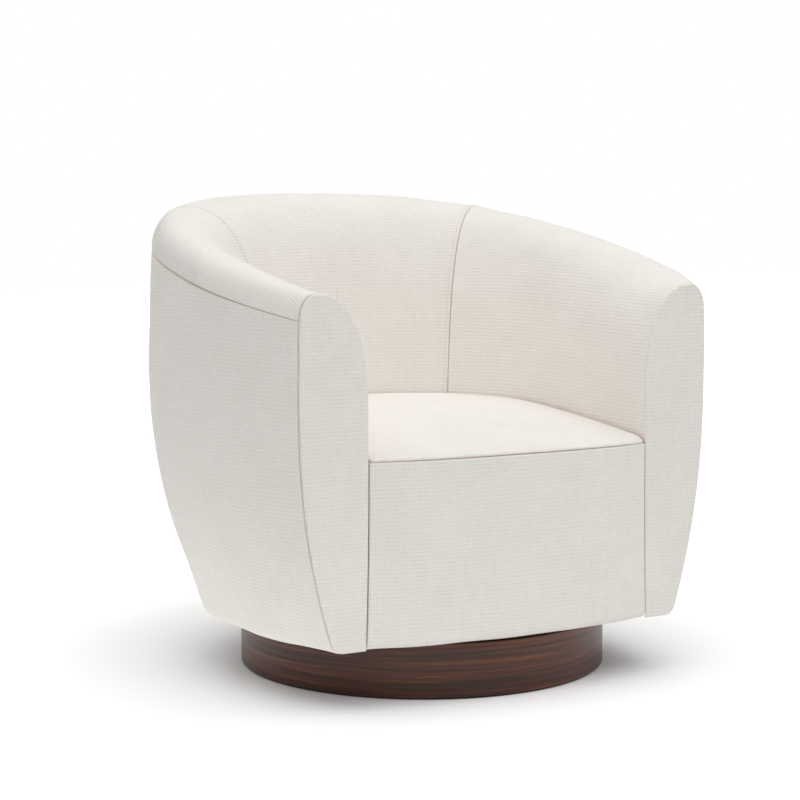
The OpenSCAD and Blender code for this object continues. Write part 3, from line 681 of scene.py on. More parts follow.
@dataclass(frozen=True)
class MetalFinish:
    """Rolled or ground metal with fine scratches."""

    name: str
    colour: Tone
    roughness: float
    scratch: Scale = (60, 1400, 200)
    stain: Scale = (30, 30, 30)
    dull: float = 0.82
    scratch_shine: float = 0.2
    scratch_depth: float = 0.00005

    def build(self) -> bpy.types.Material:
        """Makes the metal's material on object coordinates."""
        bench = NodeBench(bpy.data.materials.new(self.name))
        lines = bench.noise(self.scratch, 4, 0.65)
        tone = bench.weigh((lines, bench.noise(self.stain)), (0.5, 0.5))
        low = tuple(int(step * self.dull) for step in self.colour)
        colour = bench.ramp(tone, (0.35, 0.65), (low, self.colour))
        least = self.roughness - 0.4 * self.scratch_shine
        shine = bench.calc("MULTIPLY_ADD", lines, self.scratch_shine, least)
        bench.set(Base_Color=colour, Metallic=1.0, Roughness=shine)
        bench.relief(lines, self.scratch_depth, 0.5)
        return bench.owner


@dataclass(frozen=True)
class SheetFinish:
    """A plain woven or felted sheet: felt, spring cloth, dust cloth or nylon."""

    name: str
    high: Tone
    low: Tone
    pitch: float
    woven: bool = True
    roughness: float = 0.9
    fuzz: Scale = (900, 900, 900)
    blotch: Scale = (14, 14, 14)

    def build(self) -> bpy.types.Material:
        """Makes the sheet's material on object coordinates."""
        bench = NodeBench(bpy.data.materials.new(self.name))
        height = fuzz = bench.noise(self.fuzz, 4, 0.7)
        if self.woven:
            turn = 2 * math.pi / self.pitch
            waves = [bench.calc("SINE", bench.calc("MULTIPLY", axis, turn)) for axis in bench.axes()[:2]]
            knots = bench.calc("MULTIPLY_ADD", bench.calc("MULTIPLY", *waves), 0.5, 0.5)
            height = bench.weigh((knots, fuzz), (0.6, 0.4))
        tone = bench.weigh((height, bench.noise(self.blotch)), (0.7, 0.3))
        bench.set(Base_Color=bench.ramp(tone, (0.25, 0.7), (self.low, self.high)), Roughness=self.roughness)
        bench.relief(height, self.pitch / 4, 0.7)
        return bench.owner


WALNUT = WoodFinish(
    "dark_walnut", tones=((34, 14, 6), (58, 28, 14), (94, 50, 28), (124, 72, 43)),
    streak=(4, 4, 190), pore=(26, 26, 1500), roughness=0.38, coat=0.06)
PLY = WoodFinish(
    "pale_ply", tones=((158, 124, 84), (190, 156, 112), (212, 181, 138), (226, 200, 160)),
    streak=(16, 16, 520), pore=(70, 400, 900), roughness=0.6, coat=0.0)


# Meshes


def new_object(
    name: str, points: np.ndarray, faces: list[tuple[int, ...]], uv: np.ndarray | None = None
) -> bpy.types.Object:
    """An object at the origin from points and faces.

    Args:
        name: The piece's name.
        points: Points in metres.
        faces: Faces as indices, anticlockwise seen from outside.
        uv: A place on the cloth for each point, in metres.

    Returns:
        The new object, linked to the scene.
    """
    mesh = bpy.data.meshes.new(name)
    mesh.from_pydata(points.tolist(), [], faces)
    mesh.polygons.foreach_set("use_smooth", [True] * len(mesh.polygons))
    if uv is not None:
        layer = mesh.uv_layers.new(name=CLOTH_MAP)
        loops = np.zeros(len(mesh.loops), dtype=np.int32)
        mesh.loops.foreach_get("vertex_index", loops)
        layer.data.foreach_set("uv", uv[loops].ravel())
    mesh.update()
    obj = bpy.data.objects.new(name, mesh)
    bpy.context.scene.collection.objects.link(obj)
    return obj


def clear_selection() -> None:
    """Deselects every object, so that an operator acts on the next piece alone."""
    for obj in bpy.context.view_layer.objects:
        obj.select_set(False)


def only(obj: bpy.types.Object) -> None:
    """Makes an object the one selected and active object."""
    clear_selection()
    obj.select_set(True)
    bpy.context.view_layer.objects.active = obj


def apply_modifier(obj: bpy.types.Object, kind: str, **settings: object) -> None:
    """Adds a modifier, sets it and applies it."""
    only(obj)
    modifier = obj.modifiers.new(kind.lower(), kind)
    for key, value in settings.items():
        setattr(modifier, key, value)
    bpy.ops.object.modifier_apply(modifier=modifier.name)


def dress(obj: bpy.types.Object, material: bpy.types.Material) -> None:
    """Gives an object one material."""
    obj.data.materials.clear()
    obj.data.materials.append(material)


@dataclass(frozen=True)
class Padding:
    """How far and how freely a panel swells out of the frame."""

    cap: float
    fill: float
    sink: float = 0.7
    free_w: float = 0.03
    held_w: float = 0.007
    passes: int = 6
    ripple: float = 0.0006
    ripple_w: float = 0.085


@dataclass
class PaddedPanel:
    """A sewn and padded panel: a grid of points in front, a grid behind, rounded borders."""

    name: str
    node: str
    front: np.ndarray
    back: np.ndarray
    uv: np.ndarray
    radii: dict[Border, float | np.ndarray]
    padding: Padding
    seed: int
    flip: bool = False
    edge: np.ndarray | None = None
    obj: bpy.types.Object | None = field(default=None, repr=False)

    def __post_init__(self) -> None:
        """Keeps the grid's size, its normals and each point's distance to the borders."""
        self.cols, self.rows = self.front.shape[:2]
        self.normal = grid_normals(self.front) * (-1 if self.flip else 1)
        along, up = run_along(self.front), run_along(self.front.transpose(1, 0, 2)).T
        self.reach = {
            Border.START: along,
            Border.END: along[-1] - along,
            Border.LOW: up,
            Border.HIGH: up[:, -1:] - up,
        }

    def shell_faces(self) -> list[tuple[int, ...]]:
        """Faces of the closed shell over the front grid and the back grid."""
        off = self.cols * self.rows
        grid = np.arange(off).reshape(self.cols, self.rows).tolist()
        quads = []
        for one, two in zip(grid, grid[1:]):
            for a, b, c, d in zip(one, two, two[1:], one[1:]):
                quads += [(a, b, c, d), (a + off, d + off, c + off, b + off)]
        for one, two in zip(grid, grid[1:]):
            for a, b in ((two[0], one[0]), (one[-1], two[-1])):
                quads.append((a, b, b + off, a + off))
        for j in range(self.rows - 1):
            for a, b in ((grid[0][j], grid[0][j + 1]), (grid[-1][j + 1], grid[-1][j])):
                quads.append((a, b, b + off, a + off))
        return [quad[::-1] for quad in quads] if self.flip else quads

    def edge_distance(self) -> np.ndarray:
        """Distance of each point in front to the nearest sewn border."""
        if self.edge is not None:
            return self.edge
        return np.min([self.reach[border] for border in self.radii], axis=0)

    def make(self) -> None:
        """Builds the shell before it is padded out."""
        self.sunk = self.front - self.normal * (self.padding.sink * self.padding.cap * self.ramp())[..., None]
        uv = np.concatenate([self.uv.reshape(-1, 2)] * 2)
        self.obj = new_object(self.name, self.shell_points(self.sunk), self.shell_faces(), uv)

    def shell_points(self, front: np.ndarray) -> np.ndarray:
        """Points of a grid in front and of the grid behind it, one a row."""
        return np.concatenate([front.reshape(-1, 3), self.back.reshape(-1, 3)])

    def ramp(self) -> np.ndarray:
        """How freely each point in front may swell, from 0 at the seams to 1."""
        v = np.clip(self.edge_distance() / self.padding.free_w, 0, 1)
        return v * (2 - v)

    def held(self) -> np.ndarray:
        """Indices of the points that the seams and the frame hold."""
        fixed = (self.edge_distance() < self.padding.held_w).ravel()
        return np.concatenate([np.flatnonzero(fixed), np.arange(fixed.size, 2 * fixed.size)])

    def settle(self, swollen: np.ndarray | None) -> None:
        """Takes over the swelling, rounds the seams and smooths the piece.

        Args:
            swollen: The points in front after the simulation, or None for a plain swelling.
        """
        cap = self.padding.cap
        rise = cap * self.ramp()
        if swollen is not None:
            moved = np.einsum("ijk,ijk->ij", swollen - self.sunk, self.normal)
            rise = cap * np.tanh(np.maximum(moved, 0) / cap)
        for _ in range(self.padding.passes):
            beside = rise[2:, 1:-1] + rise[:-2, 1:-1] + rise[1:-1, 2:] + rise[1:-1, :-2]
            rise[1:-1, 1:-1] = (rise[1:-1, 1:-1] * 2 + beside) / 6
        ripple = smooth_noise(self.front, self.padding.ripple_w, self.seed)
        rise += self.padding.ripple * ripple * self.ramp()
        fall = np.zeros_like(rise)
        for border, radius in self.radii.items():
            if isinstance(radius, np.ndarray):
                radius = radius[:, None]
            fall = np.hypot(fall, rounding_depth(self.reach[border], radius))
        self.shaped = self.sunk + self.normal * (rise - fall)[..., None]
        self.obj.data.vertices.foreach_set("co", self.shell_points(self.shaped).ravel())
        self.obj.data.update()
        apply_modifier(self.obj, "SUBSURF", levels=1, render_levels=1)

    def attach(self, cloth: bpy.types.Material) -> None:
        """Dresses the piece and seats it on the chair in place of its CAD node."""
        dress(self.obj, cloth)
        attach(self.obj, Body.CHAIR.value)
        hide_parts(self.node)
        log.info("%s: %d faces, in place of %s", self.name, len(self.obj.data.polygons), self.node)


@dataclass
class ClothPress:
    """A short cloth simulation that pads out all panels at once."""

    pressure: float = 4.0
    frames: int = 20
    quality: int = 5
    mass: float = 0.4
    stretch: float = 40
    shear: float = 20
    bend: float = 6

    def run(self, panels: list[PaddedPanel]) -> None:
        """Swells the panels under pressure and hands each its result."""
        for panel in panels:
            self.prepare(panel)
        scene = bpy.context.scene
        for step in range(1, self.frames + 1):
            scene.frame_set(step)
        graph = bpy.context.evaluated_depsgraph_get()
        results = []
        for panel in panels:
            mesh = panel.obj.evaluated_get(graph).data
            co = np.zeros(len(mesh.vertices) * 3)
            mesh.vertices.foreach_get("co", co)
            count = panel.cols * panel.rows
            results.append(co.reshape(-1, 3)[:count].reshape(panel.cols, panel.rows, 3))
        for panel, swollen in zip(panels, results):
            panel.obj.modifiers.clear()
            panel.obj.vertex_groups.clear()
            panel.settle(swollen)
        scene.frame_set(1)

    def prepare(self, panel: PaddedPanel) -> None:
        """Adds the cloth modifier to a panel, held at its seams and on its back."""
        group = panel.obj.vertex_groups.new(name="held")
        group.add(panel.held().tolist(), 1.0, "REPLACE")
        cloth = panel.obj.modifiers.new("padding", "CLOTH")
        cloth.point_cache.frame_start, cloth.point_cache.frame_end = 1, self.frames
        settings = cloth.settings
        settings.vertex_group_mass = group.name
        settings.quality, settings.mass = self.quality, self.mass
        settings.tension_stiffness = settings.compression_stiffness = self.stretch
        settings.shear_stiffness, settings.bending_stiffness = self.shear, self.bend
        settings.use_pressure, settings.uniform_pressure_force = True, self.pressure
        settings.effector_weights.gravity = 0
        cloth.collision_settings.use_collision = False
        cloth.collision_settings.use_self_collision = False


# Upholstery


@dataclass
class Upholstery:
    """The sewn covers, pads and panels of the body."""

    form: BarrelForm
    cloth: bpy.types.Material
    thread: bpy.types.Material
    step: float = 0.010
    pad_low_z: float = 0.300
    pad_t: float = 0.014
    seam_r: float = 0.0032
    front_r: float = 0.0028
    front_in: float = 0.0036
    rim_in: float = 0.0008
    roll_crease: tuple[float, float] = (0.0025, 0.0035)
    cover_crease: tuple[float, float] = (0.0025, 0.010)
    sweep_span: float = 0.3
    flap_in: float = 0.003
    band_t: float = 0.017
    band_in: tuple[float, float] = (0.0025, 0.001)
    band_narrow: float = 0.999
    foot_drop: float = 0.0012
    band_rows: int = 25
    typical_share: float = 0.2
    panel_low: tuple[float, ...] = (0.0, 0.001, 0.0025, 0.005, 0.008)
    panel_side: tuple[float, ...] = (0.0, 0.001, 0.0025, 0.005, 0.008, 0.013)
    panel_top: tuple[float, ...] = (0.0, 0.0007, 0.002, 0.0045, 0.008, 0.012, 0.018)
    panel_even: tuple[float, float] = (0.014, 0.022)
    panel_cols: int = 12
    side_share: float = 0.45
    cover_padding: Padding = Padding(cap=0.002, fill=0.75)
    roll_padding: Padding = Padding(cap=0.003, fill=0.75)
    arm_front_padding: Padding = Padding(cap=0.002, fill=0.9)
    band_padding: Padding = Padding(cap=0.0025, fill=0.85)
    panels: list[PaddedPanel] = field(default_factory=list)

    def section_grid(self, t: np.ndarray, inside: bool, shares: np.ndarray) -> tuple[np.ndarray, np.ndarray]:
        """Front and back grids of the pads or the outside covers.

        Args:
            t: Places round the plan.
            inside: Whether to follow the roll and the inside, or else the outside.
            shares: Places along each section's line.

        Returns:
            The grid in front and the grid behind it.
        """
        st = self.form.stations(t, -self.form.front_d + self.front_in)
        depth = self.pad_t if inside else self.form.cover_t
        front, back = [], []
        for k in range(len(t)):
            line = self.form.inside_line(st, k, self.pad_low_z) if inside else self.form.outside_line(st, k)
            points = resample(line, shares)
            way = np.gradient(points, axis=0)
            way /= np.linalg.norm(way, axis=1, keepdims=True)
            inwards = np.stack([-way[:, 1], way[:, 0]], axis=1)
            front.append(self.form.place(st, k, points))
            back.append(self.form.place(st, k, points + inwards * depth))
        return np.array(front), np.array(back)

    def sections(self, t: np.ndarray, inside: bool, shares: np.ndarray) -> tuple[np.ndarray, np.ndarray]:
        """Grids as above, drawn along the plan so that pads end at their swept corner seam.

        Args:
            t: Places round the plan, from or up to the corner seam's share.
            inside: Whether to follow the roll and the inside, or else the outside.
            shares: Places along each section's line.

        Returns:
            The grid in front and the grid behind it.
        """
        if not inside:
            return self.section_grid(t, inside, shares)
        seam_share = self.form.seam_share
        dense = np.unique(np.concatenate([t, np.linspace(seam_share - self.sweep_span, seam_share, 60)]))
        grids = self.section_grid(dense, inside, shares)
        fixed = t[0] if t[0] < 0 else t[-1]
        drawn = np.zeros((2, len(t), len(shares), 3))
        for j, seam in enumerate(self.form.corner_seam(shares)):
            at = fixed + (t - fixed) * (seam - fixed) / (seam_share - fixed)
            for k, grid in enumerate(grids):
                for c in range(3):
                    drawn[k, :, j, c] = np.interp(at, dense, grid[:, j, c])
        return drawn[0], drawn[1]

    def cloth_map(self, front: np.ndarray, inside: bool, middle: bool) -> np.ndarray:
        """Places on the cloth in metres: along the columns, and up from a level line.

        Args:
            front: The grid in front.
            inside: Whether its rows run downwards at their end.
            middle: Whether lengths start from the middle column.

        Returns:
            A grid of places.
        """
        along = run_along(front)
        if middle:
            along = along - along[len(along) // 2]
        up = run_along(front.transpose(1, 0, 2)).T
        up = up[:, -1:] - up + self.pad_low_z if inside else up + self.form.skirt_z - self.form.flap_w
        return np.stack([along, up], axis=2)

    def line_shares(self, inside: bool) -> np.ndarray:
        """Shares along a section's line, closer at its sewn ends."""
        st = self.form.stations(np.array([self.typical_share]))
        if inside:
            length = run_along(self.form.inside_line(st, 0, self.pad_low_z))[-1]
            return stops(length, self.step, self.seam_r, 0)
        line = self.form.outside_line(st, 0)
        length = run_along(line)[-1]
        even = stops(length, self.step, 0, 2 * self.seam_r)
        flap, turn_r = self.form.flap_w, self.form.skirt_r
        turn = np.linspace(flap - turn_r, flap + turn_r, 7) / length
        return np.concatenate([[0.0], turn, even[even > turn[-1] + 0.5 * self.step / length]])

    def creases(self, t: np.ndarray, inside: bool) -> np.ndarray:
        """Radius of the roll's seam at each place, on the roll or on the cover that dips under it."""
        return self.form.mix(self.roll_crease if inside else self.cover_crease, t)

    def add_sides(
        self, node: str, ending: str, grids: tuple[np.ndarray, np.ndarray], uv: np.ndarray,
        radii: dict[Border, float | np.ndarray], padding: Padding, seed: int, edge: np.ndarray | None = None,
    ) -> None:
        """Adds a panel of the right arm and its mirrored copy for the left arm.

        Args:
            node: The CAD nodes' name without its side.
            ending: What the pieces' names end with.
            grids: The grids in front and behind, on the right.
            uv: Places on the cloth, on the right.
            radii: Radius of each sewn border.
            padding: How the panels swell.
            seed: Seed of their ripples.
            edge: Distance of the points to the nearest border, where the grid doesn't give it.
        """
        for side in Side:
            name, mirror = f"{node}_{side.name.lower()}", np.array([side.value, 1, 1])
            front, back = (grid * mirror for grid in grids)
            self.panels.append(PaddedPanel(
                f"{name}_{ending}", name, front, back, uv * mirror[:2], radii, padding,
                seed + side.value, side is Side.LEFT, edge))

    def add_pair(self, node: str, inside: bool, padding: Padding) -> None:
        """Adds the right and the left copy of an arm's pad or outside cover."""
        t = self.form.spaced(-1, self.form.seam_share, self.step, self.front_r, self.seam_r)
        grids = self.sections(t, inside, self.line_shares(inside))
        seam = Border.LOW if inside else Border.HIGH
        radii = {Border.START: self.front_r, Border.END: self.seam_r, seam: self.creases(t, inside)}
        uv = self.cloth_map(grids[0], inside, False)
        self.add_sides(node, "cover", grids, uv, radii, padding, 11)

    def add_back(self, name: str, node: str, inside: bool, padding: Padding) -> None:
        """Adds the inside back or the outside back, between the corner seams."""
        start = self.form.seam_share + self.form.gap / self.form.body_w
        half = self.form.spaced(start, 1, self.step, self.seam_r, 0)
        grids = self.sections(half, inside, self.line_shares(inside))
        front, back = (np.concatenate([grid, grid[-2::-1] * np.array([-1, 1, 1])]) for grid in grids)
        t = np.concatenate([half, half[-2::-1]])
        seam = Border.LOW if inside else Border.HIGH
        radii = {Border.START: self.seam_r, Border.END: self.seam_r, seam: self.creases(t, inside)}
        uv = self.cloth_map(front, inside, True)
        self.panels.append(PaddedPanel(name, node, front, back, uv, radii, padding, 23))

    def panel_sides(self) -> tuple[np.ndarray, np.ndarray]:
        """Outline of the arm front panel: its outer side and its inner side, both upwards."""
        form = self.form
        st = form.stations(np.array([-1.0]), -form.front_d)
        outer = form.outside_line(st, 0)[1:]
        line = form.inside_line(st, 0, form.skirt_z)
        top = int(np.argmax(line[:, 1]))
        outer = np.concatenate([outer, line[1 : top + 1]])
        inner = line[top:][::-1]
        outer[:, 0] += st.ridge[0, 0]
        inner[:, 0] += st.ridge[0, 0]
        side = form.border_half(inner[:, 1]) + 2 * form.gap
        inner[:, 0] = np.where(inner[:, 1] < form.seat_z, side, inner[:, 0])
        low = np.linspace(form.skirt_z, form.seat_z, 40)
        low = np.stack([form.border_half(low) + 2 * form.gap, low], axis=1)
        return outer, np.concatenate([low, inner[inner[:, 1] > form.seat_z + 1e-4]])

    def add_arm_fronts(self) -> None:
        """Adds the flat padded panels that close the arms in front."""
        form = self.form
        outer, inner = self.panel_sides()
        low, high = form.skirt_z, outer[-1, 1]
        drops = np.array(self.panel_top) + self.rim_in
        rows = np.concatenate([
            low + np.array(self.panel_low),
            np.arange(low + self.panel_even[0], high - self.panel_even[1], self.step),
            (high - drops)[::-1],
        ])
        ox = np.interp(rows, outer[:, 1], outer[:, 0]) - self.rim_in
        ix = np.interp(rows, inner[:, 1], inner[:, 0])
        near = np.array(self.panel_side)
        width = ox - ix
        edge = np.minimum(near[None, :], width[:, None] * (near / near[-1] * self.side_share)[None, :])
        middle = np.linspace(0, 1, self.panel_cols + 1)[1:-1]
        spread = edge[:, -1:] + (width[:, None] - 2 * edge[:, -1:]) * middle[None, :]
        offset = np.concatenate([edge, spread, width[:, None] - edge[:, ::-1]], axis=1)
        x = ix[:, None] + offset
        z = np.broadcast_to(rows[:, None], x.shape)
        outline = np.concatenate([np.stack([ox, rows], axis=1), np.stack([ix, rows], axis=1)[::-1]])
        gap = self.distance_to(np.stack([x, z], axis=2), outline)
        y = -form.front_d + rounding_depth(gap, np.float64(self.front_r))
        behind = np.full_like(x, -form.front_d + self.front_in - form.gap)
        front, back = (np.stack([x, depth, z], axis=2).transpose(1, 0, 2) for depth in (y, behind))
        padding = self.arm_front_padding
        self.add_sides("arm_front", "panel", (front, back), front[..., ::2], {}, padding, 41, gap.T)

    def distance_to(self, points: np.ndarray, outline: np.ndarray) -> np.ndarray:
        """Distance of points in a plane to a closed outline."""
        a = outline
        b = np.roll(outline, -1, axis=0)
        way = b - a
        span = np.maximum(np.sum(way**2, axis=1), 1e-14)
        flat = points.reshape(-1, 1, 2)
        share = np.clip(np.sum((flat - a) * way, axis=2) / span, 0, 1)
        gaps = np.linalg.norm(flat - a - share[..., None] * way, axis=2)
        return gaps.min(axis=1).reshape(points.shape[:-1])

    def add_seat_front(self) -> None:
        """Adds the bowed band below the seat's front seam."""
        form = self.form
        low, high = form.skirt_z, form.seat_z
        turn = np.linspace(0, math.pi / 2, 7)
        near = ROUND_STOPS * self.seam_r
        even = np.linspace(low + form.skirt_r, high - near[-1], self.band_rows + 1)[1:]
        round_low, round_high = low + form.skirt_r * (1 - np.cos(turn)), (high - near[:-1])[::-1]
        rows = np.concatenate([[low], round_low, even, round_high])
        inset = np.concatenate([[form.skirt_r + self.flap_in], form.skirt_r * (1 - np.sin(turn))])
        inset = np.concatenate([inset, np.zeros(len(rows) - len(inset))])
        shares = stops(form.seat_w, self.step, self.seam_r, self.seam_r) * 2 - 1
        v = (rows - low) / (high - low)
        x = shares[:, None] * (form.border_half(rows) + form.gap)[None, :]
        bow = form.low_bow + (form.high_bow - form.low_bow) * v
        y = -form.front_d - bow[None, :] * (1 - np.abs(shares)[:, None] ** form.bow_exp) + inset[None, :]
        front = np.stack([x, y, np.broadcast_to(rows, x.shape)], axis=2)
        back_low, back_high = low + self.band_in[0], high - self.band_in[1]
        back_rows = back_low + (back_high - back_low) * v
        back_rows[0] -= self.foot_drop
        back_y = np.full_like(x, -form.front_d + self.band_t)
        back = np.stack([x * self.band_narrow, back_y, np.broadcast_to(back_rows, x.shape)], axis=2)
        uv = np.stack([run_along(front) - form.seat_w / 2, front[..., 2]], axis=2)
        radii = {Border.START: self.front_r, Border.END: self.front_r, Border.HIGH: self.seam_r}
        self.panels.append(PaddedPanel(
            "seat_front_band", "seat_front", front, back, uv, radii, self.band_padding, 51))

    def build(self) -> None:
        """Builds, pads out, dresses and seats every panel."""
        self.add_pair("outside", False, self.cover_padding)
        self.add_back("outside_back_cover", "outside_back", False, self.cover_padding)
        self.add_pair("arm_pad", True, self.roll_padding)
        self.add_back("inside_back_pad", "inside_back", True, self.roll_padding)
        self.add_arm_fronts()
        self.add_seat_front()
        for panel in self.panels:
            panel.make()
        ClothPress().run(self.panels)
        for panel in self.panels:
            panel.attach(self.cloth)
        back = next(panel for panel in self.panels if panel.node == "inside_back")
        CornerStitching(back, self.thread).build()


@dataclass
class CornerStitching:
    """A line of stitches on the inside back beside each corner seam."""

    pad: PaddedPanel
    thread: bpy.types.Material
    aside: float = 0.0062
    length: float = 0.0042
    pitch: float = 0.0058
    radius: float = 0.00042
    top_in: float = 0.012
    foot_in: float = 0.06
    swell: tuple[float, ...] = (0.45, 0.95, 1.0, 0.95, 0.45)
    rise: tuple[float, ...] = (-0.9, 0.35, 0.6, 0.35, -0.9)

    def line(self, side: Side) -> tuple[np.ndarray, np.ndarray]:
        """Points and normals along the stitch line, at even distances.

        Args:
            side: The corner seam it lies beside.

        Returns:
            Points and outward normals, one a row.
        """
        start = Border.START if side is Side.RIGHT else Border.END
        reach, normals = self.pad.reach[start], grid_normals(self.pad.shaped)
        points, ways = [], []
        for j in range(self.pad.rows):
            order = np.argsort(reach[:, j])
            at = [np.interp(self.aside, reach[order, j], g[order, j, c])
                  for g in (self.pad.shaped, normals) for c in range(3)]
            points.append(at[:3])
            ways.append(at[3:])
        points, ways = np.array(points), np.array(ways)
        run = run_along(points)
        stops_at = np.arange(self.top_in, run[-1] - self.foot_in, self.pitch / 2)
        at_stops = [np.interp(stops_at, run, column) for column in np.hstack([points, ways]).T]
        return np.stack(at_stops[:3], axis=1), np.stack(at_stops[3:], axis=1)

    def stitch(self) -> tuple[np.ndarray, np.ndarray, np.ndarray]:
        """One small rounded thread that dips in at its ends.

        Returns:
            Its points along, across and off the cloth, the quads round it, and its two end faces.
        """
        thick, lift = self.radius * np.array(self.swell), self.radius * np.array(self.rise)
        turns = np.linspace(0, 2 * math.pi, 7)[:-1]
        along = np.linspace(-self.length / 2, self.length / 2, len(thick))[:, None]
        across, off = np.outer(thick, np.cos(turns)), lift[:, None] + np.outer(thick, np.sin(turns))
        rings = np.arange(across.size).reshape(across.shape)
        after = np.roll(rings, -1, axis=1)
        quads = np.stack([rings[:-1], after[:-1], after[1:], rings[1:]], axis=2).reshape(-1, 4)
        points = np.stack(np.broadcast_arrays(along, across, off), axis=2).reshape(-1, 3)
        return points, quads, np.stack([rings[0, ::-1], rings[-1]])

    def build(self) -> None:
        """Sews both lines of stitches."""
        stitch, quads, ends = self.stitch()
        for side in Side:
            points, ways = self.line(side)
            vertices, faces = [], []
            for k in range(1, len(points) - 1, 2):
                along = points[k + 1] - points[k - 1]
                along /= np.linalg.norm(along)
                base = len(vertices) * len(stitch)
                vertices.append(points[k] + stitch @ np.array([along, np.cross(ways[k], along), ways[k]]))
                faces += (quads + base).tolist() + (ends + base).tolist()
            obj = new_object(f"corner_stitches_{side.name.lower()}", np.concatenate(vertices), faces)
            dress(obj, self.thread)
            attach(obj, Body.CHAIR.value)
            log.info("%s: %d stitches", obj.name, len(vertices))


@dataclass
class SeatCushion:
    """The crowned top of the tight seat, sunk between the arms and the back."""

    form: BarrelForm
    cloth: bpy.types.Material
    crown: float = 0.015
    low_z: float = 0.300
    tuck: float = 0.006
    tuck_r: float = 0.016
    front_r: float = 0.0022
    front_count: int = 46
    start_share: float = -0.93
    step: float = 0.011
    edge_up: float = 0.02
    front_span: tuple[float, float] = (0.9, 0.08)
    wall_shares: tuple[float, ...] = (0.0, 0.5, 0.9)
    rim: tuple[float, ...] = (0.0, 0.0008, 0.002, 0.004, 0.007, 0.011, 0.017, 0.026)
    first_share: float = 0.045
    crown_rings: int = 21
    side_in: float = 0.002
    lid_in: float = 0.008
    band_in: float = 0.019
    band_bow: float = 0.04
    wave: float = 0.0008
    wave_w: float = 0.12
    wave_in: float = 0.05
    lip_w: float = 0.012

    def outline(self) -> np.ndarray:
        """The seat's edge in plan, anticlockwise from the front left corner."""
        form = self.form
        t = form.spaced(self.start_share, 1, self.step, 0, 0)
        st = form.stations(t)
        level = np.array([form.seat_z + self.edge_up])
        depths = np.array([form.inner_d(st, k, level) - form.gap for k in range(len(t))])
        right = st.ridge + depths * st.out
        right[-1, 0] = 0
        half = form.seat_w / 2 - form.gap
        x = np.linspace(-half, half, self.front_count)
        front = np.stack([x, form.bow_y(x, half)], axis=1)
        front_right = np.array([[half, (right[0, 1] - form.front_d) / 2]])
        left = np.concatenate([front_right, right])[::-1] * np.array([-1, 1])
        return np.concatenate([front, front_right, right, left[1:]])

    def build(self) -> None:
        """Builds the cushion from rings and seats it on the chair."""
        form = self.form
        edge = self.outline()
        sizes = np.linalg.norm(edge, axis=1)
        start, span = (share * form.front_d for share in self.front_span)
        front_part = np.clip((-edge[:, 1] - start) / span, 0, 1)
        tuck = self.tuck * (1 - front_part)
        tuck_r = self.tuck_r * (1 - front_part) + self.front_r * front_part
        pulled = edge * (1 - self.side_in / sizes)[:, None]
        behind_band = -form.front_d + self.band_in + self.band_bow * pulled[:, 0] ** 2
        pulled[:, 1] = np.maximum(pulled[:, 1], behind_band)
        rings = []
        for share in self.wall_shares:
            z = self.low_z + (form.seat_z - self.lid_in - self.low_z) * share
            rings.append(np.concatenate([pulled, np.full((len(edge), 1), z)], axis=1))
        top_shares = [1 - inset / sizes for inset in self.rim]
        inner = np.linspace(self.first_share, 1, self.crown_rings + 1)[:-1]
        top_shares += [top_shares[-1] * (1 - share) for share in inner]
        rings += [self.top_ring(edge, share, tuck, tuck_r) for share in top_shares]
        points = np.concatenate(rings)
        n, m = len(edge), len(rings)
        caps = self.cap_faces(n)
        faces = [face[::-1] for face in caps] + [tuple(k + (m - 1) * n for k in face) for face in caps]
        for r in range(m - 1):
            for k in range(n):
                a, b = r * n + k, r * n + (k + 1) % n
                faces.append((a, b, b + n, a + n))
        obj = new_object("seat_cushion_cover", points, faces, points[:, :2])
        apply_modifier(obj, "SUBSURF", levels=1, render_levels=1)
        dress(obj, self.cloth)
        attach(obj, Body.CHAIR.value)
        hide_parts("seat_cushion")
        log.info("seat_cushion_cover: %d faces", len(obj.data.polygons))

    def cap_faces(self, count: int) -> list[tuple[int, ...]]:
        """Closes a ring by strips between its right and left points.

        Args:
            count: Points in the ring, an odd number that starts at the front left corner.

        Returns:
            Faces over the ring's indices.
        """
        right, left = self.front_count // 2, self.front_count // 2 - 1
        faces = []
        while (right + 1) % count != (left - 1) % count:
            faces.append((left, right, right + 1, (left - 1) % count))
            right, left = right + 1, (left - 1) % count
        return faces + [(left, right, right + 1)]

    def top_ring(
        self, edge: np.ndarray, share: np.ndarray, tuck: np.ndarray, tuck_r: np.ndarray
    ) -> np.ndarray:
        """A ring of the crowned top.

        Args:
            edge: The outline.
            share: How much of the outline's size the ring has, for each of its points.
            tuck: Depth of the tucked edge at each point.
            tuck_r: Width of the tucked edge at each point.

        Returns:
            The ring's points.
        """
        xy = edge * share[:, None]
        gap = np.linalg.norm(edge, axis=1) * (1 - share)
        z = self.form.seat_edge_z(xy[:, 0], xy[:, 1]) + self.crown * (1 - share**2)
        z -= tuck * rounding_depth(gap, tuck_r) / tuck_r
        lip = self.front_r * (tuck == 0)
        xy[:, 1] += lip * np.clip(1 - gap / self.front_r, 0, 1) ** 2
        z += lip * np.clip(gap / self.front_r, 0, 1) * np.exp(-gap / self.lip_w)
        wave = self.wave * smooth_noise(np.column_stack([xy, z]), self.wave_w, 5)
        z += wave * np.clip(gap / self.wave_in, 0, 1)
        return np.column_stack([xy, z])


# Plinth and inner pieces


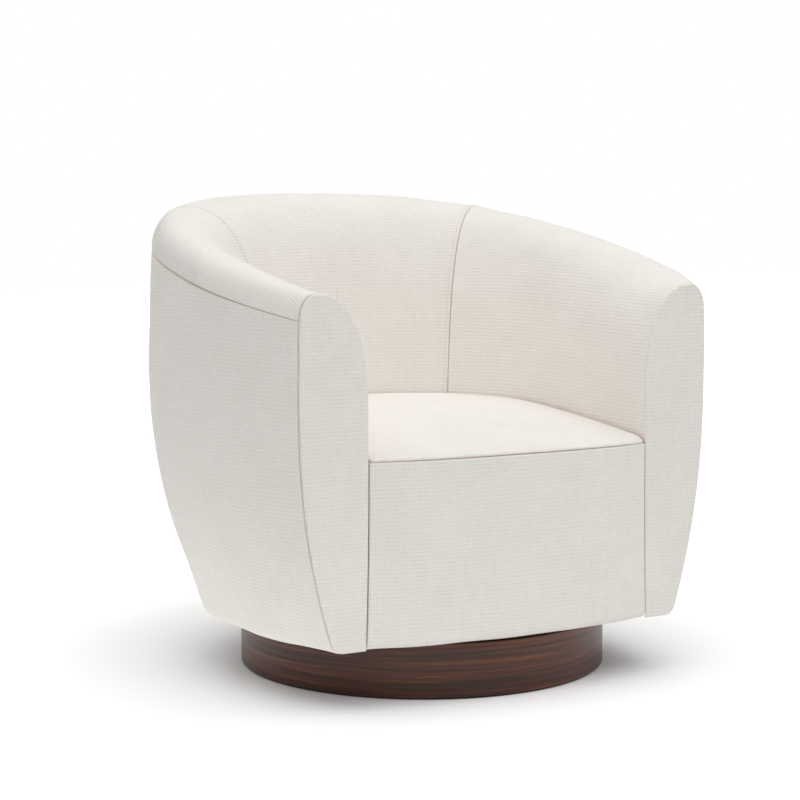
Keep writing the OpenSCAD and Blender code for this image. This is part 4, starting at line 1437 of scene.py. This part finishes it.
@dataclass
class Plinth:
    """The round walnut drum that the chair stands on."""

    finish: WoodFinish
    radius: float = 0.2925
    wall: float = 0.015
    low_z: float = 0.003
    high_z: float = 0.085
    arris: float = 0.0012

    def build(self) -> None:
        """Turns the drum from a cylinder: an inset and bridged wall, with eased arrises."""
        depth = self.high_z - self.low_z
        clear_selection()
        bpy.ops.mesh.primitive_cylinder_add(
            vertices=160, radius=self.radius, depth=depth, location=(0, 0, self.low_z + depth / 2))
        obj = bpy.context.view_layer.objects.active
        obj.name = "walnut_drum"
        bpy.ops.object.transform_apply(location=True, rotation=True, scale=True)
        self.pick_caps(obj)
        bpy.ops.mesh.inset(thickness=self.wall)
        self.pick_caps(obj)
        bpy.ops.mesh.bridge_edge_loops()
        bpy.ops.mesh.select_all(action="SELECT")
        bpy.ops.mesh.remove_doubles(threshold=1e-6)
        bpy.ops.mesh.normals_make_consistent(inside=False)
        bpy.ops.object.mode_set(mode="OBJECT")
        apply_modifier(obj, "BEVEL", width=self.arris, segments=3, limit_method="ANGLE",
                       angle_limit=math.radians(60), use_clamp_overlap=False)
        only(obj)
        bpy.ops.object.shade_smooth_by_angle(angle=math.radians(40))
        dress(obj, self.finish.build())
        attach(obj, Body.BASE.value)
        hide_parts("plinth_ring")
        log.info("walnut_drum: %d faces", len(obj.data.polygons))

    def pick_caps(self, obj: bpy.types.Object) -> None:
        """Selects the many-sided face at each end of the drum, in edit mode."""
        bpy.ops.object.mode_set(mode="OBJECT")
        only(obj)
        bpy.ops.object.mode_set(mode="EDIT")
        bpy.ops.mesh.select_mode(type="FACE")
        bpy.ops.object.mode_set(mode="OBJECT")
        polygons = obj.data.polygons
        polygons.foreach_set("select", [len(polygon.vertices) > 4 for polygon in polygons])
        bpy.ops.object.mode_set(mode="EDIT")


@dataclass(frozen=True)
class InnerFrame:
    """The CAD nodes inside the chair, which keep their shapes and get their finishes."""

    def build(self) -> None:
        """Dresses every CAD node by what it is made of."""
        ply = PLY.build()
        steel = MetalFinish("zinc_steel", (176, 178, 182), 0.36).build()
        spring = MetalFinish("spring_steel", (92, 94, 98), 0.42, (800, 800, 90)).build()
        ball = MetalFinish("ground_steel", (214, 216, 220), 0.12, (400, 400, 400)).build()
        nylon = SheetFinish("cage_nylon", (226, 220, 202), (204, 196, 176), 0.0012, False, 0.45).build()
        felt = SheetFinish("floor_felt", (74, 66, 60), (38, 33, 30), 0.0016, False, 1.0).build()
        jute = SheetFinish("spring_cloth_weave", (196, 170, 128), (132, 106, 72), 0.0026).build()
        dust = SheetFinish("dust_cloth_weave", (54, 54, 56), (24, 24, 26), 0.0012).build()
        finishes = {
            steel: ["swivel_lower_plate", "lower_plate_bolts", "centre_pin", "pin_washer", "pin_nut",
                    "swivel_upper_plate", "upper_plate_bolts", "spring_clips"],
            spring: ["seat_springs"],
            ball: ["bearing_balls"],
            nylon: ["ball_cage"],
            felt: ["floor_pad"],
            jute: ["spring_cloth"],
            dust: ["dust_cover"],
        }
        by_node = {node: material for material, nodes in finishes.items() for node in nodes}
        for name, obj in frame["nodes"].items():
            if not obj.hide_render:
                dress(obj, by_node.get(name, ply))
        log.info("finishes on %d CAD nodes", len(frame["nodes"]))


# Studio


@dataclass
class Studio:
    """The pale floor, the soft lights and the camera at the photograph's angle."""

    turn: float = 0.5056
    pitch: float = 0.1014
    lens: float = 94.33
    distance: float = 3.4121
    aim_x: float = -0.03537
    aim_z: float = 0.41774
    sensor_w: float = 36
    floor_w: float = 24
    # Painted shadow on the floor: the camera's white lift is 0.36 near the chair and rises to full over this
    # run of distances, and an occlusion mask within shadow_reach dims it further.
    painted_shadow_run: tuple[float, float] = (0.5, 1.4)
    glow: tuple[float, float] = (0.36, 1.0)
    shadow_reach: float = 0.4
    sky: float = 0.425
    boards: tuple[tuple[float, float, float], ...] = (
        (-0.22, -0.52, 0.12), (0.22, -0.52, 0.10), (-0.52, -0.18, 0.22), (-0.55, 0.2, 0.26))

    def build(self) -> None:
        """Lays the floor, hangs the lights and sets the camera."""
        self.floor()
        self.world()
        self.lamp("top_box", (0.1, -0.3, 4.0), (0, 0, 0), 6.0, 121)
        self.lamp("front_box", (0.4, -2.6, 2.4), (0, 0.2, 0.6), 1.6, 6.5)
        for k, (x, y, power) in enumerate(self.boards):
            self.lamp(f"floor_board_{k}", (x, y, 0.004), (x, y, 1), 0.4, power)
        self.camera()
        bpy.context.scene.view_settings.view_transform = "Standard"

    def seen(self, bench: NodeBench) -> Socket:
        """1 for rays of the camera, of gloss and of glass, otherwise 0."""
        rays = bench.add("ShaderNodeLightPath").outputs
        shown = bench.calc("MAXIMUM", rays["Is Camera Ray"], rays["Is Glossy Ray"])
        return bench.calc("MAXIMUM", shown, rays["Is Transmission Ray"])

    def floor(self) -> None:
        """A wide pale floor, lifted to white for the camera, that keeps the chair's shadow and adds painted
        shadow: the lift is dimmed near the chair and where an occlusion mask finds the floor sheltered.
        """
        clear_selection()
        bpy.ops.mesh.primitive_plane_add(size=self.floor_w, location=(0, 0, 0))
        floor = bpy.context.view_layer.objects.active
        floor.name = "studio_floor"
        bench = NodeBench(bpy.data.materials.new("floor_paper"), "ShaderNodeAddShader")
        paper, glow = bench.add("ShaderNodeBsdfDiffuse"), bench.add("ShaderNodeEmission")
        paper.inputs["Color"].default_value = (0.9, 0.9, 0.9, 1)
        glow.inputs["Color"].default_value = (1, 1, 1, 1)
        away = bench.add("ShaderNodeVectorMath", operation="LENGTH")
        bench.link(bench.add("ShaderNodeTexCoord").outputs["Object"], away.inputs[0])
        # Painted shadow: the white lift seen by the camera is dimmed near the chair and where the occlusion
        # mask finds the floor sheltered.
        lift = bench.spread(away.outputs["Value"], self.painted_shadow_run, self.glow, "SMOOTHSTEP")
        clear = bench.calc("MULTIPLY", bench.shelter(self.shadow_reach), lift)
        bench.link(bench.calc("MULTIPLY", self.seen(bench), clear), glow.inputs["Strength"])
        bench.link(paper.outputs[0], bench.shader.inputs[0])
        bench.link(glow.outputs[0], bench.shader.inputs[1])
        floor.data.materials.append(bench.owner)

    def world(self) -> None:
        """An even sky that fills the shadows and shows as white."""
        world = bpy.data.worlds.new("studio_sky")
        bpy.context.scene.world = world
        bench = NodeBench(world, "ShaderNodeBackground")
        bench.set(Color=(1, 1, 1, 1), Strength=bench.spread(self.seen(bench), (0, 1), (self.sky, 1)))

    def lamp(self, name: str, place: tuple, aim: tuple, size: float, power: float) -> None:
        """Hangs a square soft lamp that looks at a point."""
        data = bpy.data.lights.new(name, "AREA")
        data.shape, data.size, data.energy = "SQUARE", size, power
        lamp = bpy.data.objects.new(name, data)
        lamp.location = place
        lamp.rotation_euler = (Vector(aim) - Vector(place)).to_track_quat("-Z", "Y").to_euler()
        lamp.visible_camera = lamp.visible_glossy = False
        bpy.context.scene.collection.objects.link(lamp)

    def camera(self) -> None:
        """Sets the camera where the photograph was taken from."""
        a, e = self.turn, self.pitch
        ahead = Vector((math.sin(a) * math.cos(e), math.cos(a) * math.cos(e), -math.sin(e)))
        right = Vector((math.cos(a), -math.sin(a), 0))
        up = right.cross(ahead)
        data = bpy.data.cameras.new("studio_camera")
        data.lens, data.sensor_width, data.sensor_fit = self.lens, self.sensor_w, "HORIZONTAL"
        camera = bpy.data.objects.new("studio_camera", data)
        camera.location = right * self.aim_x + up * self.aim_z - ahead * self.distance
        camera.rotation_mode = "QUATERNION"
        camera.rotation_quaternion = ahead.to_track_quat("-Z", "Y")
        bpy.context.scene.collection.objects.link(camera)
        bpy.context.scene.camera = camera


def main() -> None:
    """Builds the studio, the upholstery, the seat, the plinth and the finishes."""
    logging.basicConfig(level=logging.INFO, format="%(message)s")
    Studio().build()
    form = BarrelForm()
    cloth, thread = WeaveFinish().build(), StitchFinish().build()
    Upholstery(form, cloth, thread).build()
    SeatCushion(form, cloth).build()
    Plinth(WALNUT).build()
    InnerFrame().build()


if __name__ == "__main__":
    main()
